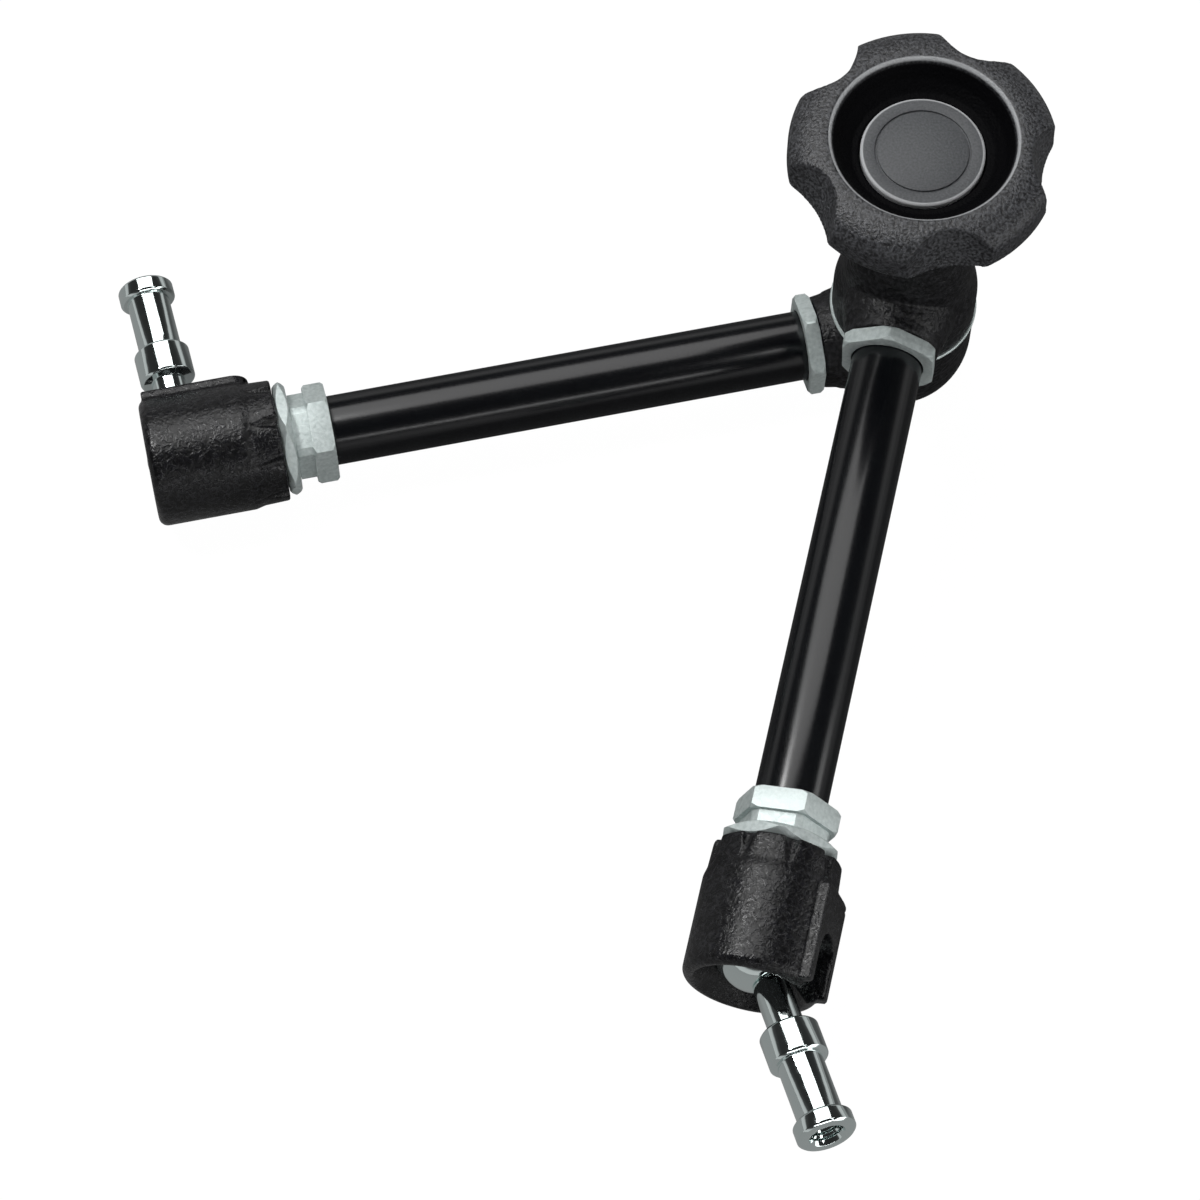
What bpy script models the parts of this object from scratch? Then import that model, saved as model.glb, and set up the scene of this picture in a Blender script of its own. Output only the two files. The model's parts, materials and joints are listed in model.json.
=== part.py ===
"""Articulating friction arm: two tubes on a central elbow, with a ball end on each.

One knob on the elbow draws up a spindle whose two cones push a rod along each
tube, so that the elbow and both ball ends clamp together.
Units are metres, +Z is up along the elbow's pivot, and the origin is the centre
of the elbow's flat underside.
"""

from math import asin, atan2, cos, pi, radians, sin, sqrt

import bmesh
import bpy
from mathutils import Matrix, Vector

# Clearances
GAP = 0.0003
OVERCUT = 0.0010
MERGE = 0.000001

# Facets of a full turn
FINE = 48
ROUND = 24
SMALL = 16

# How the arm is laid out
BASE_AZIMUTH = 257.4
LOAD_AZIMUTH = 191.7
BASE_SLOT_ROLL = 18.0
LOAD_SLOT_ROLL = 180.0
BASE_STUD_SWING = 31.0
LOAD_STUD_SWING = 86.7
ARM_REACH = 0.2090

# Levels of the elbow
LOAD_AXIS_Z = 0.0200
BASE_AXIS_Z = 0.0500
FRICTION_RING_THICKNESS = 0.0010
FRICTION_RING_INNER_RADIUS = 0.0095
FRICTION_RING_LIP = 0.0005

# Elbow castings
HUB_RADIUS = 0.0205
FOOT_RADIUS = 0.0140
FOOT_ROUND_HEIGHT = 0.0200
NECK_HEIGHT = 0.0476
NECK_RADIUS = 0.0130
WAIST_RADIUS = 0.0184
WAIST_START = -0.0050
WAIST_END = 0.0070
SOCKET_END = 0.0248
SOCKET_RADIUS = 0.0160
SOCKET_LIP_RADIUS = 0.0142
SOCKET_END_RADIUS = 0.0132
SOCKET_TAPER_START = 0.0130
SOCKET_LIP_START = 0.0206
SOCKET_LIP_LENGTH = 0.0003
SOCKET_STEP = 0.0004

# Tubes, and how deep each end sits
TUBE_RADIUS = 0.0100
TUBE_WALL = 0.0020
TUBE_DEPTH_IN_SOCKET = 0.0055
TUBE_DEPTH_IN_FITTING = 0.0053
TUBE_CHAMFER = 0.0004

# Ring nuts at the elbow
RING_NUT_ACROSS_FLATS = 0.0256
RING_NUT_THICKNESS = 0.0043
RING_NUT_BLANK_RADIUS = 0.0146
RING_NUT_CHAMFER = 0.0008
BASE_RING_NUT_ROLL = 2.3
LOAD_RING_NUT_ROLL = -4.5

# Hex end fittings
FITTING_ACROSS_FLATS = 0.0250
FITTING_HEX_LENGTH = 0.0063
FITTING_BLANK_RADIUS = 0.0144
FITTING_CHAMFER = 0.0008
COLLAR_ACROSS_FLATS = 0.0222
COLLAR_LENGTH = 0.0045
COLLAR_RADIUS = 0.0122
SHANK_DEPTH = 0.0085
SHANK_POCKET_RADIUS = 0.0075
SHANK_POCKET_DEPTH = 0.0060
BASE_FITTING_ROLL = -18.8
LOAD_FITTING_ROLL = 9.4

# Jam nuts
JAM_NUT_ACROSS_FLATS = 0.0306
JAM_NUT_THICKNESS = 0.0036
JAM_NUT_BLANK_RADIUS = 0.0172
JAM_NUT_FACE_RADIUS = 0.0149
BASE_JAM_NUT_ROLL = 0.0
LOAD_JAM_NUT_ROLL = -19.1

# Ball housings, measured from the ball's centre
BALL_RADIUS = 0.0115
HOUSING_BACK = 0.0267
HOUSING_FRONT = 0.0112
HOUSING_RADIUS = 0.0183
HOUSING_NUT_END_RADIUS = 0.0174
SHOULDER_LENGTH = 0.0087
RIM_ROUND = 0.0026
MOUTH_RADIUS = 0.0154
THROAT_OFFSET = 0.0056
SLOT_WIDTH = 0.0115
BOSS_HEIGHT = 0.0190
BOSS_WIDTH = 0.0178
BOSS_LENGTH = 0.0308
BOSS_CORNER = 0.0050
BOSS_EDGE = 0.0007
FLUTES = 9
FLUTE_RADIUS = 0.0024
FLUTE_LENGTH = 0.0125
FLUTE_RISE = 0.0004

# Seat cups and push rods
CUP_LENGTH = 0.0110
CUP_FRONT_OFFSET = 0.0060
CUP_RECESS = 0.0015
ROD_RADIUS = 0.0030

# Studs, measured from the ball's centre
NECK_OF_STUD_RADIUS = 0.0049
TENON_RADIUS = 0.0037
TENON_START = 0.0020
STUD_RADIUS = 0.0080
STUD_COLLAR_START = 0.0252
STUD_COLLAR_LENGTH = 0.0100
STUD_WAIST_RADIUS = 0.00615
STUD_WAIST_LENGTH = 0.0170
STUD_FLANGE_LENGTH = 0.0050
STUD_CHAMFER = 0.0007
STUD_HOLE_RADIUS = 0.0044
STUD_HOLE_DEPTH = 0.0140

# Spindle
CONE_RADIUS = 0.0080
SPINDLE_RADIUS = 0.0040
CONE_SLOPE = 0.40
CONE_LAND = 0.0020
HEAD_RADIUS = 0.0110
HEAD_THICKNESS = 0.0028
HEAD_CEILING_Z = 0.0092
SPRING_SPACE = 0.0018
SPRING_THICKNESS = 0.0007
PLUG_RADIUS = 0.0120
PLUG_THICKNESS = 0.0024

# Knob, measured from the underside of its boss
WASHER_THICKNESS = 0.0015
WASHER_RADIUS = 0.0118
KNOB_RADIUS = 0.0365
KNOB_BOSS_RADIUS = 0.0120
KNOB_UNDERSIDE = 0.0103
KNOB_WALL_HEIGHT = 0.0070
KNOB_SHOULDER_HEIGHT = 0.0065
KNOB_RIM_RADIUS = 0.0253
KNOB_RIM_LAND = 0.0006
DISH_DEPTH = 0.0084
DISH_WALL_RUN = 0.0030
DISH_WALL_DROP = 0.0056
CAP_RADIUS = 0.0169
CAP_THICKNESS = 0.0030
CAP_RISE = 0.0012
CAP_GROOVE_RADIUS = 0.0127
CAP_GROOVE_SIZE = 0.0006
KNOB_CORNER = 0.0006
SCALLOPS = 5
SCALLOP_TOP_RADIUS = 0.0117
SCALLOP_BOTTOM_RADIUS = 0.0280
SCALLOP_TOP_REACH = 0.02875
SCALLOP_BOTTOM_REACH = 0.0329
FIRST_SCALLOP_AZIMUTH = -8.2
KNOB_WALL = 0.0030
KNOB_RIB = 0.0022
KNOB_POCKET_DEPTH = 0.0040
KNOB_POCKET_INNER_RADIUS = 0.0200
INSERT_RADIUS = 0.0067
INSERT_LENGTH = 0.0125

# Levels that follow from the sizes above
SPLIT_Z = (LOAD_AXIS_Z + BASE_AXIS_Z) / 2
LOWER_TOP_Z = SPLIT_Z - FRICTION_RING_THICKNESS / 2 - GAP
UPPER_BOTTOM_Z = SPLIT_Z + FRICTION_RING_THICKNESS / 2 + GAP
NECK_TOP_Z = BASE_AXIS_Z + NECK_HEIGHT
WASHER_Z = NECK_TOP_Z + GAP
KNOB_Z = WASHER_Z + WASHER_THICKNESS + GAP

# Bores and stations that follow from the sizes above
SPINDLE_BORE = CONE_RADIUS + GAP
THREAD_BORE = SPINDLE_RADIUS + GAP
TUBE_BORE = TUBE_RADIUS + GAP
ROD_BORE = ROD_RADIUS + GAP
POCKET_RADIUS = PLUG_RADIUS + GAP
HOUSING_BORE = BALL_RADIUS + GAP
SHANK_RADIUS = HOUSING_BORE - GAP
TUBE_START_X = SOCKET_END - TUBE_DEPTH_IN_SOCKET
HOUSING_START_X = ARM_REACH - HOUSING_BACK
JAM_NUT_X = HOUSING_START_X - GAP - JAM_NUT_THICKNESS
COLLAR_END_X = JAM_NUT_X - GAP
COLLAR_START_X = COLLAR_END_X - COLLAR_LENGTH
FITTING_START_X = COLLAR_START_X - FITTING_HEX_LENGTH
SHANK_END_X = HOUSING_START_X + SHANK_DEPTH
TUBE_END_X = FITTING_START_X + TUBE_DEPTH_IN_FITTING
CUP_FRONT_X = ARM_REACH - CUP_FRONT_OFFSET
CUP_BACK_X = CUP_FRONT_X - CUP_LENGTH
ROD_END_X = CUP_BACK_X + CUP_RECESS - GAP

# The thrust ball touches its cone halfway up, at the tube's level
CONE_HEIGHT = (CONE_RADIUS - SPINDLE_RADIUS) / CONE_SLOPE
CONE_MIDDLE_RADIUS = (CONE_RADIUS + SPINDLE_RADIUS) / 2
THRUST_BALL_RADIUS = ROD_RADIUS
THRUST_BALL_X = CONE_MIDDLE_RADIUS + (THRUST_BALL_RADIUS + GAP) * sqrt(1 + CONE_SLOPE ** 2)
ROD_START_X = THRUST_BALL_X + THRUST_BALL_RADIUS + GAP


def clear_scene():
    """Start from an empty file."""
    for thing in list(bpy.data.objects):
        bpy.data.objects.remove(thing, do_unlink=True)


def finish(name, colour, roughness, metallic):
    """A Principled material in one colour."""
    material = bpy.data.materials.new(name)
    material.use_nodes = True
    shader = material.node_tree.nodes["Principled BSDF"]
    shader.inputs["Base Color"].default_value = (*colour, 1.0)
    shader.inputs["Roughness"].default_value = roughness
    shader.inputs["Metallic"].default_value = metallic
    material.diffuse_color = (*colour, 1.0)
    return material


def make_finishes():
    """The finishes that the photograph shows, by name."""
    return {
        "casting": finish("satin_black_casting", (0.020, 0.020, 0.022), 0.45, 0.0),
        "housing": finish("wrinkle_black", (0.016, 0.016, 0.018), 0.40, 0.0),
        "tube": finish("gloss_black_tube", (0.008, 0.008, 0.010), 0.18, 0.0),
        "knob": finish("dark_grey_plastic", (0.030, 0.030, 0.034), 0.50, 0.0),
        "cap": finish("grey_cap", (0.105, 0.110, 0.118), 0.45, 0.0),
        "nickel": finish("satin_nickel", (0.560, 0.600, 0.590), 0.32, 1.0),
        "chrome": finish("polished_chrome", (0.780, 0.790, 0.790), 0.08, 1.0),
        "steel": finish("plain_steel", (0.450, 0.450, 0.460), 0.40, 1.0),
        "brass": finish("turned_brass", (0.700, 0.520, 0.240), 0.30, 1.0),
        "nylon": finish("white_nylon", (0.700, 0.690, 0.650), 0.50, 0.0),
    }


def frame_at(name, parent, location, rotation):
    """An empty that carries the pieces turning about its origin."""
    empty = bpy.data.objects.new(name, None)
    bpy.context.collection.objects.link(empty)
    empty.parent = parent
    empty.location = location
    empty.rotation_euler = rotation
    return empty


def mesh_object(name, bm, material, parent, location=(0.0, 0.0, 0.0)):
    """Turn a bmesh into a named object on its parent frame."""
    mesh = bpy.data.meshes.new(name)
    bm.to_mesh(mesh)
    bm.free()
    mesh.shade_smooth()
    mesh.set_sharp_from_angle(angle=radians(30))
    if material is not None:
        mesh.materials.append(material)
    thing = bpy.data.objects.new(name, mesh)
    bpy.context.collection.objects.link(thing)
    thing.parent = parent
    thing.location = location
    return thing


def combine(thing, tool, operation):
    """Join a tool to a piece, or cut it away, and hide the tool."""
    tool.hide_render = True
    tool.display_type = "WIRE"
    modifier = thing.modifiers.new(tool.name, "BOOLEAN")
    modifier.operation = operation
    modifier.solver = "EXACT"
    modifier.object = tool


def turned(outline, axis, facets):
    """Spin an outline of (station along the axis, radius) points round the axis.

    An outline that starts and ends on the axis is solid, and any other is closed
    into a ring.
    """
    bm = bmesh.new()
    along = Vector((1, 0, 0)) if axis == "X" else Vector((0, 0, 1))
    outward = Vector((0, 0, 1)) if axis == "X" else Vector((1, 0, 0))
    corners = [bm.verts.new(along * s + outward * r) for s, r in outline]
    edges = [bm.edges.new(pair) for pair in zip(corners, corners[1:])]
    if outline[0][1] > 0:
        edges.append(bm.edges.new((corners[-1], corners[0])))
    bmesh.ops.spin(
        bm, geom=corners + edges, cent=(0, 0, 0), axis=along, angle=2 * pi, steps=facets, use_merge=True
    )
    bmesh.ops.remove_doubles(bm, verts=bm.verts[:], dist=MERGE)
    bmesh.ops.recalc_face_normals(bm, faces=bm.faces[:])
    return bm


def arc(centre_station, radius, start, end, points):
    """Points of a circle about the axis's own line, from one angle to another in degrees."""
    step = (end - start) / (points - 1)
    angles = [radians(start + step * n) for n in range(points)]
    return [(centre_station + radius * cos(a), radius * sin(a)) for a in angles]


def flats(name, start, end, across, parent, level, roll):
    """The ring that is milled off a turned blank to leave six flats."""
    corner = across / sqrt(3)
    bm = turned([(start, corner), (end, corner), (end, corner * 2), (start, corner * 2)], "X", 6)
    tool = mesh_object(name, bm, None, parent, (0.0, 0.0, level))
    tool.rotation_euler = (radians(roll), 0.0, 0.0)
    return tool


def box(low, high):
    """A block between two corners."""
    bm = bmesh.new()
    size = Vector(high) - Vector(low)
    middle = (Vector(high) + Vector(low)) / 2
    bmesh.ops.create_cube(bm, size=1.0, matrix=Matrix.Translation(middle) @ Matrix.Diagonal(size).to_4x4())
    return bm


def hub_wall(bottom, top, foot_height, foot_radius):
    """The outside of a hub from its rounded end to its split face, as (height, radius) points."""
    points = 7
    outline = []
    for n in range(points):
        share = n / (points - 1)
        swell = share * (2 - share)
        outline.append((bottom + foot_height * share, foot_radius + (HUB_RADIUS - foot_radius) * swell))
    outline.append((top, HUB_RADIUS))
    return outline


def eased(start, end, first, last, points):
    """Points of a wall that eases from one radius to another between two heights."""
    wall = []
    for n in range(points):
        share = n / (points - 1)
        wall.append((start + (end - start) * share, last + (first - last) * (1 + cos(pi * share)) / 2))
    return wall


def socket_tool(name, parent, level):
    """The tapered socket that takes the tube, with a small step behind its ring nut."""
    outline = [
        (0.0, 0.0),
        (0.0, SOCKET_RADIUS),
        (SOCKET_TAPER_START, SOCKET_RADIUS),
        (SOCKET_LIP_START, SOCKET_LIP_RADIUS),
        (SOCKET_LIP_START + SOCKET_LIP_LENGTH, SOCKET_LIP_RADIUS - SOCKET_STEP),
        (SOCKET_END, SOCKET_END_RADIUS),
        (SOCKET_END, 0.0),
    ]
    return mesh_object(name, turned(outline, "X", ROUND), None, parent, (0.0, 0.0, level))


def tube_bore_tool(name, parent, level):
    """The rod's bore and the wider bore that the tube enters."""
    floor = TUBE_START_X - GAP
    outline = [
        (0.0, 0.0),
        (0.0, ROD_BORE),
        (floor, ROD_BORE),
        (floor, TUBE_BORE),
        (SOCKET_END + OVERCUT, TUBE_BORE),
        (SOCKET_END + OVERCUT, 0.0),
    ]
    return mesh_object(name, turned(outline, "X", ROUND), None, parent, (0.0, 0.0, level))


def lower_casting(parent, finishes):
    """The half of the elbow that carries the load arm's tube and the spindle's head."""
    wall = hub_wall(0.0, LOWER_TOP_Z, FOOT_ROUND_HEIGHT, FOOT_RADIUS)
    outline = [(0.0, 0.0)] + wall + [(LOWER_TOP_Z, 0.0)]
    casting = mesh_object("lower_casting", turned(outline, "Z", ROUND), finishes["casting"], parent)
    combine(casting, socket_tool("lower_socket_tool", parent, LOAD_AXIS_Z), "UNION")
    reach = SOCKET_END * 2
    above = box((-reach, -reach, LOWER_TOP_Z), (reach, reach, BASE_AXIS_Z))
    combine(casting, mesh_object("lower_split_tool", above, None, parent), "DIFFERENCE")
    bore = [
        (-OVERCUT, 0.0),
        (-OVERCUT, POCKET_RADIUS),
        (HEAD_CEILING_Z, POCKET_RADIUS),
        (HEAD_CEILING_Z, SPINDLE_BORE),
        (LOWER_TOP_Z + OVERCUT, SPINDLE_BORE),
        (LOWER_TOP_Z + OVERCUT, 0.0),
    ]
    combine(casting, mesh_object("lower_bore_tool", turned(bore, "Z", ROUND), None, parent), "DIFFERENCE")
    combine(casting, tube_bore_tool("lower_tube_tool", parent, LOAD_AXIS_Z), "DIFFERENCE")
    return casting


def upper_casting(parent, finishes):
    """The half of the elbow that carries the base arm's tube, with the neck under the knob."""
    waist = BASE_AXIS_Z + WAIST_END
    wall = [(UPPER_BOTTOM_Z, HUB_RADIUS)]
    wall = wall + eased(BASE_AXIS_Z + WAIST_START, waist, HUB_RADIUS, WAIST_RADIUS, 5)
    wall = wall + eased(waist, NECK_TOP_Z, WAIST_RADIUS, NECK_RADIUS, 7)[1:]
    outline = [(UPPER_BOTTOM_Z, 0.0)] + wall + [(NECK_TOP_Z, 0.0)]
    casting = mesh_object("upper_casting", turned(outline, "Z", ROUND), finishes["casting"], parent)
    combine(casting, socket_tool("upper_socket_tool", parent, BASE_AXIS_Z), "UNION")
    reach = SOCKET_END * 2
    below = box((-reach, -reach, LOAD_AXIS_Z), (reach, reach, UPPER_BOTTOM_Z))
    combine(casting, mesh_object("upper_split_tool", below, None, parent), "DIFFERENCE")
    cone_room = BASE_AXIS_Z + CONE_HEIGHT
    bore = [
        (UPPER_BOTTOM_Z - OVERCUT, 0.0),
        (UPPER_BOTTOM_Z - OVERCUT, SPINDLE_BORE),
        (cone_room, SPINDLE_BORE),
        (cone_room, THREAD_BORE),
        (NECK_TOP_Z + OVERCUT, THREAD_BORE),
        (NECK_TOP_Z + OVERCUT, 0.0),
    ]
    combine(casting, mesh_object("upper_bore_tool", turned(bore, "Z", ROUND), None, parent), "DIFFERENCE")
    combine(casting, tube_bore_tool("upper_tube_tool", parent, BASE_AXIS_Z), "DIFFERENCE")
    return casting


def friction_ring(parent, finishes):
    """The bright ring that the two castings turn on."""
    bottom = SPLIT_Z - FRICTION_RING_THICKNESS / 2
    top = SPLIT_Z + FRICTION_RING_THICKNESS / 2
    rim = HUB_RADIUS + FRICTION_RING_LIP
    outline = [
        (bottom, FRICTION_RING_INNER_RADIUS),
        (bottom, rim),
        (top, rim),
        (top, FRICTION_RING_INNER_RADIUS),
    ]
    mesh_object("friction_ring", turned(outline, "Z", ROUND), finishes["nickel"], parent)


def spindle(parent, finishes):
    """The draw bolt: a flanged head, two wedge cones and the thread that the knob runs on."""
    head_top = HEAD_CEILING_Z - SPRING_SPACE
    head_bottom = head_top - HEAD_THICKNESS
    shaft_top = KNOB_Z + INSERT_LENGTH
    outline = [(head_bottom, 0.0), (head_bottom, HEAD_RADIUS), (head_top, HEAD_RADIUS)]
    outline.append((head_top, CONE_MIDDLE_RADIUS))
    below = CONE_MIDDLE_RADIUS
    for level in (LOAD_AXIS_Z, BASE_AXIS_Z):
        base = level - CONE_HEIGHT / 2
        outline.append((base - CONE_LAND, below))
        outline.append((base - CONE_LAND, CONE_RADIUS))
        outline.append((base, CONE_RADIUS))
        outline.append((level + CONE_HEIGHT / 2, SPINDLE_RADIUS))
        below = SPINDLE_RADIUS
    outline.append((shaft_top, SPINDLE_RADIUS))
    outline.append((shaft_top, 0.0))
    mesh_object("spindle", turned(outline, "Z", SMALL), finishes["steel"], parent)


def disc_spring(parent, finishes):
    """The coned spring washer between the spindle's head and the lower casting."""
    bottom = HEAD_CEILING_Z - SPRING_SPACE + GAP
    lift = SPRING_SPACE - 2 * GAP - SPRING_THICKNESS
    inner = CONE_MIDDLE_RADIUS + 2 * GAP
    outer = HEAD_RADIUS - GAP
    outline = [
        (bottom, outer),
        (bottom + SPRING_THICKNESS, outer),
        (bottom + lift + SPRING_THICKNESS, inner),
        (bottom + lift, inner),
    ]
    mesh_object("disc_spring", turned(outline, "Z", SMALL), finishes["steel"], parent)


def base_plug(parent, finishes):
    """The disc that closes the lower casting."""
    outline = [(0.0, 0.0), (0.0, PLUG_RADIUS), (PLUG_THICKNESS, PLUG_RADIUS), (PLUG_THICKNESS, 0.0)]
    mesh_object("base_plug", turned(outline, "Z", ROUND), finishes["casting"], parent)


def tube(side, parent, level, finishes):
    """A straight tube, chamfered at both ends."""
    inner = TUBE_RADIUS - TUBE_WALL
    outline = [
        (TUBE_START_X, inner),
        (TUBE_START_X, TUBE_RADIUS - TUBE_CHAMFER),
        (TUBE_START_X + TUBE_CHAMFER, TUBE_RADIUS),
        (TUBE_END_X - TUBE_CHAMFER, TUBE_RADIUS),
        (TUBE_END_X, TUBE_RADIUS - TUBE_CHAMFER),
        (TUBE_END_X, inner),
    ]
    mesh_object(side + "_tube", turned(outline, "X", ROUND), finishes["tube"], parent, (0.0, 0.0, level))


def ring_nut(side, parent, level, roll, finishes):
    """The thin hex nut that locks the tube in its casting."""
    start = SOCKET_END + GAP
    end = start + RING_NUT_THICKNESS
    edge = RING_NUT_BLANK_RADIUS - RING_NUT_CHAMFER
    outline = [
        (start, TUBE_BORE),
        (start, edge),
        (start + RING_NUT_CHAMFER, RING_NUT_BLANK_RADIUS),
        (end - RING_NUT_CHAMFER, RING_NUT_BLANK_RADIUS),
        (end, edge),
        (end, TUBE_BORE),
    ]
    name = side + "_ring_nut"
    nut = mesh_object(name, turned(outline, "X", ROUND), finishes["nickel"], parent, (0.0, 0.0, level))
    tool = flats(
        name + "_flats", start - OVERCUT, end + OVERCUT, RING_NUT_ACROSS_FLATS, parent, level, roll
    )
    combine(nut, tool, "DIFFERENCE")


def end_fitting(side, parent, level, roll, finishes):
    """The hex fitting on the tube's end, whose shank screws into the ball housing."""
    hex_edge = FITTING_BLANK_RADIUS - FITTING_CHAMFER
    tube_floor = TUBE_END_X + GAP
    outline = [
        (FITTING_START_X, TUBE_BORE),
        (FITTING_START_X, hex_edge),
        (FITTING_START_X + FITTING_CHAMFER, FITTING_BLANK_RADIUS),
        (COLLAR_START_X - FITTING_CHAMFER, FITTING_BLANK_RADIUS),
        (COLLAR_START_X, hex_edge),
        (COLLAR_START_X, COLLAR_RADIUS),
        (COLLAR_END_X, COLLAR_RADIUS),
        (COLLAR_END_X, SHANK_RADIUS),
        (SHANK_END_X, SHANK_RADIUS),
        (SHANK_END_X, SHANK_POCKET_RADIUS),
        (SHANK_END_X - SHANK_POCKET_DEPTH, SHANK_POCKET_RADIUS),
        (SHANK_END_X - SHANK_POCKET_DEPTH, ROD_BORE),
        (tube_floor, ROD_BORE),
        (tube_floor, TUBE_BORE),
    ]
    name = side + "_end_fitting"
    fitting = mesh_object(name, turned(outline, "X", ROUND), finishes["nickel"], parent, (0.0, 0.0, level))
    hex_tool = flats(
        name + "_hex_flats", FITTING_START_X - OVERCUT, COLLAR_START_X, FITTING_ACROSS_FLATS, parent, level, roll
    )
    collar_tool = flats(
        name + "_collar_flats", COLLAR_START_X, COLLAR_END_X, COLLAR_ACROSS_FLATS, parent, level, roll
    )
    combine(fitting, hex_tool, "DIFFERENCE")
    combine(fitting, collar_tool, "DIFFERENCE")


def jam_nut(side, parent, level, roll, finishes):
    """The thin nut that locks the housing, chamfered so deep that its flats are lens shaped."""
    end = JAM_NUT_X + JAM_NUT_THICKNESS
    middle = JAM_NUT_X + JAM_NUT_THICKNESS / 2
    bore = SHANK_RADIUS + GAP
    outline = [
        (JAM_NUT_X, bore),
        (JAM_NUT_X, JAM_NUT_FACE_RADIUS),
        (middle, JAM_NUT_BLANK_RADIUS),
        (end, JAM_NUT_FACE_RADIUS),
        (end, bore),
    ]
    name = side + "_jam_nut"
    nut = mesh_object(name, turned(outline, "X", ROUND), finishes["nickel"], parent, (0.0, 0.0, level))
    tool = flats(
        name + "_flats", JAM_NUT_X - OVERCUT, end + OVERCUT, JAM_NUT_ACROSS_FLATS, parent, level, roll
    )
    combine(nut, tool, "DIFFERENCE")


def push_rod(side, parent, level, finishes):
    """The rod that runs through the tube, with the ball between it and the spindle's cone."""
    outline = [(ROD_START_X, 0.0), (ROD_START_X, ROD_RADIUS), (ROD_END_X, ROD_RADIUS), (ROD_END_X, 0.0)]
    name = side + "_push_rod"
    mesh_object(name, turned(outline, "X", SMALL), finishes["steel"], parent, (0.0, 0.0, level))
    sphere = arc(0.0, THRUST_BALL_RADIUS, 180.0, 0.0, 7)
    sphere[0] = (-THRUST_BALL_RADIUS, 0.0)
    sphere[-1] = (THRUST_BALL_RADIUS, 0.0)
    place = (THRUST_BALL_X, 0.0, level)
    mesh_object(side + "_thrust_ball", turned(sphere, "X", SMALL), finishes["steel"], parent, place)


def seat_cup(side, parent, level, finishes):
    """The nylon cup that the rod presses on the ball."""
    seat_radius = BALL_RADIUS + GAP
    rim = 180 - asin(sqrt(seat_radius ** 2 - CUP_FRONT_OFFSET ** 2) / seat_radius) * 180 / pi
    seat = arc(ARM_REACH, seat_radius, rim, 180.0, 6)
    seat[-1] = (ARM_REACH - seat_radius, 0.0)
    recess_radius = ROD_RADIUS + GAP
    outline = [
        (CUP_BACK_X + CUP_RECESS, 0.0),
        (CUP_BACK_X + CUP_RECESS, recess_radius),
        (CUP_BACK_X, recess_radius),
        (CUP_BACK_X, HOUSING_BORE - GAP),
        (CUP_FRONT_X, HOUSING_BORE - GAP),
    ]
    name = side + "_seat_cup"
    cup = turned(outline + seat, "X", ROUND)
    mesh_object(name, cup, finishes["nylon"], parent, (0.0, 0.0, level))


def flute_tool(name, parent):
    """The wedge grooves round the housing's shoulder, widest at the nut's end."""
    bm = bmesh.new()
    start = Vector((-HOUSING_BACK - OVERCUT, 0.0, HOUSING_NUT_END_RADIUS + FLUTE_RISE))
    point = Vector((start.x + FLUTE_LENGTH, 0.0, HOUSING_RADIUS + FLUTE_RISE / 2))
    run = point - start
    lean = Matrix.Rotation(atan2(run.x, run.z), 4, "Y")
    for n in range(FLUTES):
        turn = Matrix.Rotation(2 * pi * (n + 0.5) / FLUTES, 4, "X")
        place = turn @ Matrix.Translation((start + point) / 2) @ lean
        bmesh.ops.create_cone(
            bm, cap_ends=True, segments=10, radius1=FLUTE_RADIUS, radius2=0.0, depth=run.length, matrix=place
        )
    return mesh_object(name, bm, None, parent)


def boss_tool(name, parent):
    """The raised pad round the slot, rounded at the nut's end."""
    bm = box(
        (HOUSING_FRONT - RIM_ROUND / 2 - BOSS_LENGTH, HOUSING_BORE / 2, -BOSS_WIDTH / 2),
        (HOUSING_FRONT - RIM_ROUND / 2, BOSS_HEIGHT, BOSS_WIDTH / 2),
    )
    nut_end = HOUSING_FRONT - RIM_ROUND / 2 - BOSS_LENGTH + MERGE
    corners = [e for e in bm.edges if all(v.co.x < nut_end for v in e.verts)]
    upright = [e for e in corners if abs(e.verts[0].co.z - e.verts[1].co.z) < MERGE]
    bmesh.ops.bevel(bm, geom=upright, offset=BOSS_CORNER, segments=4, profile=0.5, affect="EDGES")
    top = [e for e in bm.edges if all(v.co.y > BOSS_HEIGHT - MERGE for v in e.verts)]
    bmesh.ops.bevel(bm, geom=top, offset=BOSS_EDGE, segments=1, profile=0.5, affect="EDGES")
    return mesh_object(name, bm, None, parent)


def slot_tool(name, parent):
    """The slot that lets the stud swing square to the tube, round at its inner end."""
    half = SLOT_WIDTH / 2
    points = 9
    outline = [(HOUSING_FRONT + OVERCUT, half), (HOUSING_FRONT + OVERCUT, -half)]
    for n in range(points):
        turn = radians(-90 - 180 * n / (points - 1))
        outline.append((half * cos(turn), half * sin(turn)))
    bm = bmesh.new()
    face = bm.faces.new([bm.verts.new((x, 0.0, z)) for x, z in outline])
    grown = bmesh.ops.extrude_face_region(bm, geom=[face])
    raised = [v for v in grown["geom"] if isinstance(v, bmesh.types.BMVert)]
    bmesh.ops.translate(bm, verts=raised, vec=(0.0, BOSS_HEIGHT + OVERCUT, 0.0))
    bmesh.ops.recalc_face_normals(bm, faces=bm.faces[:])
    return mesh_object(name, bm, None, parent)


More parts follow.
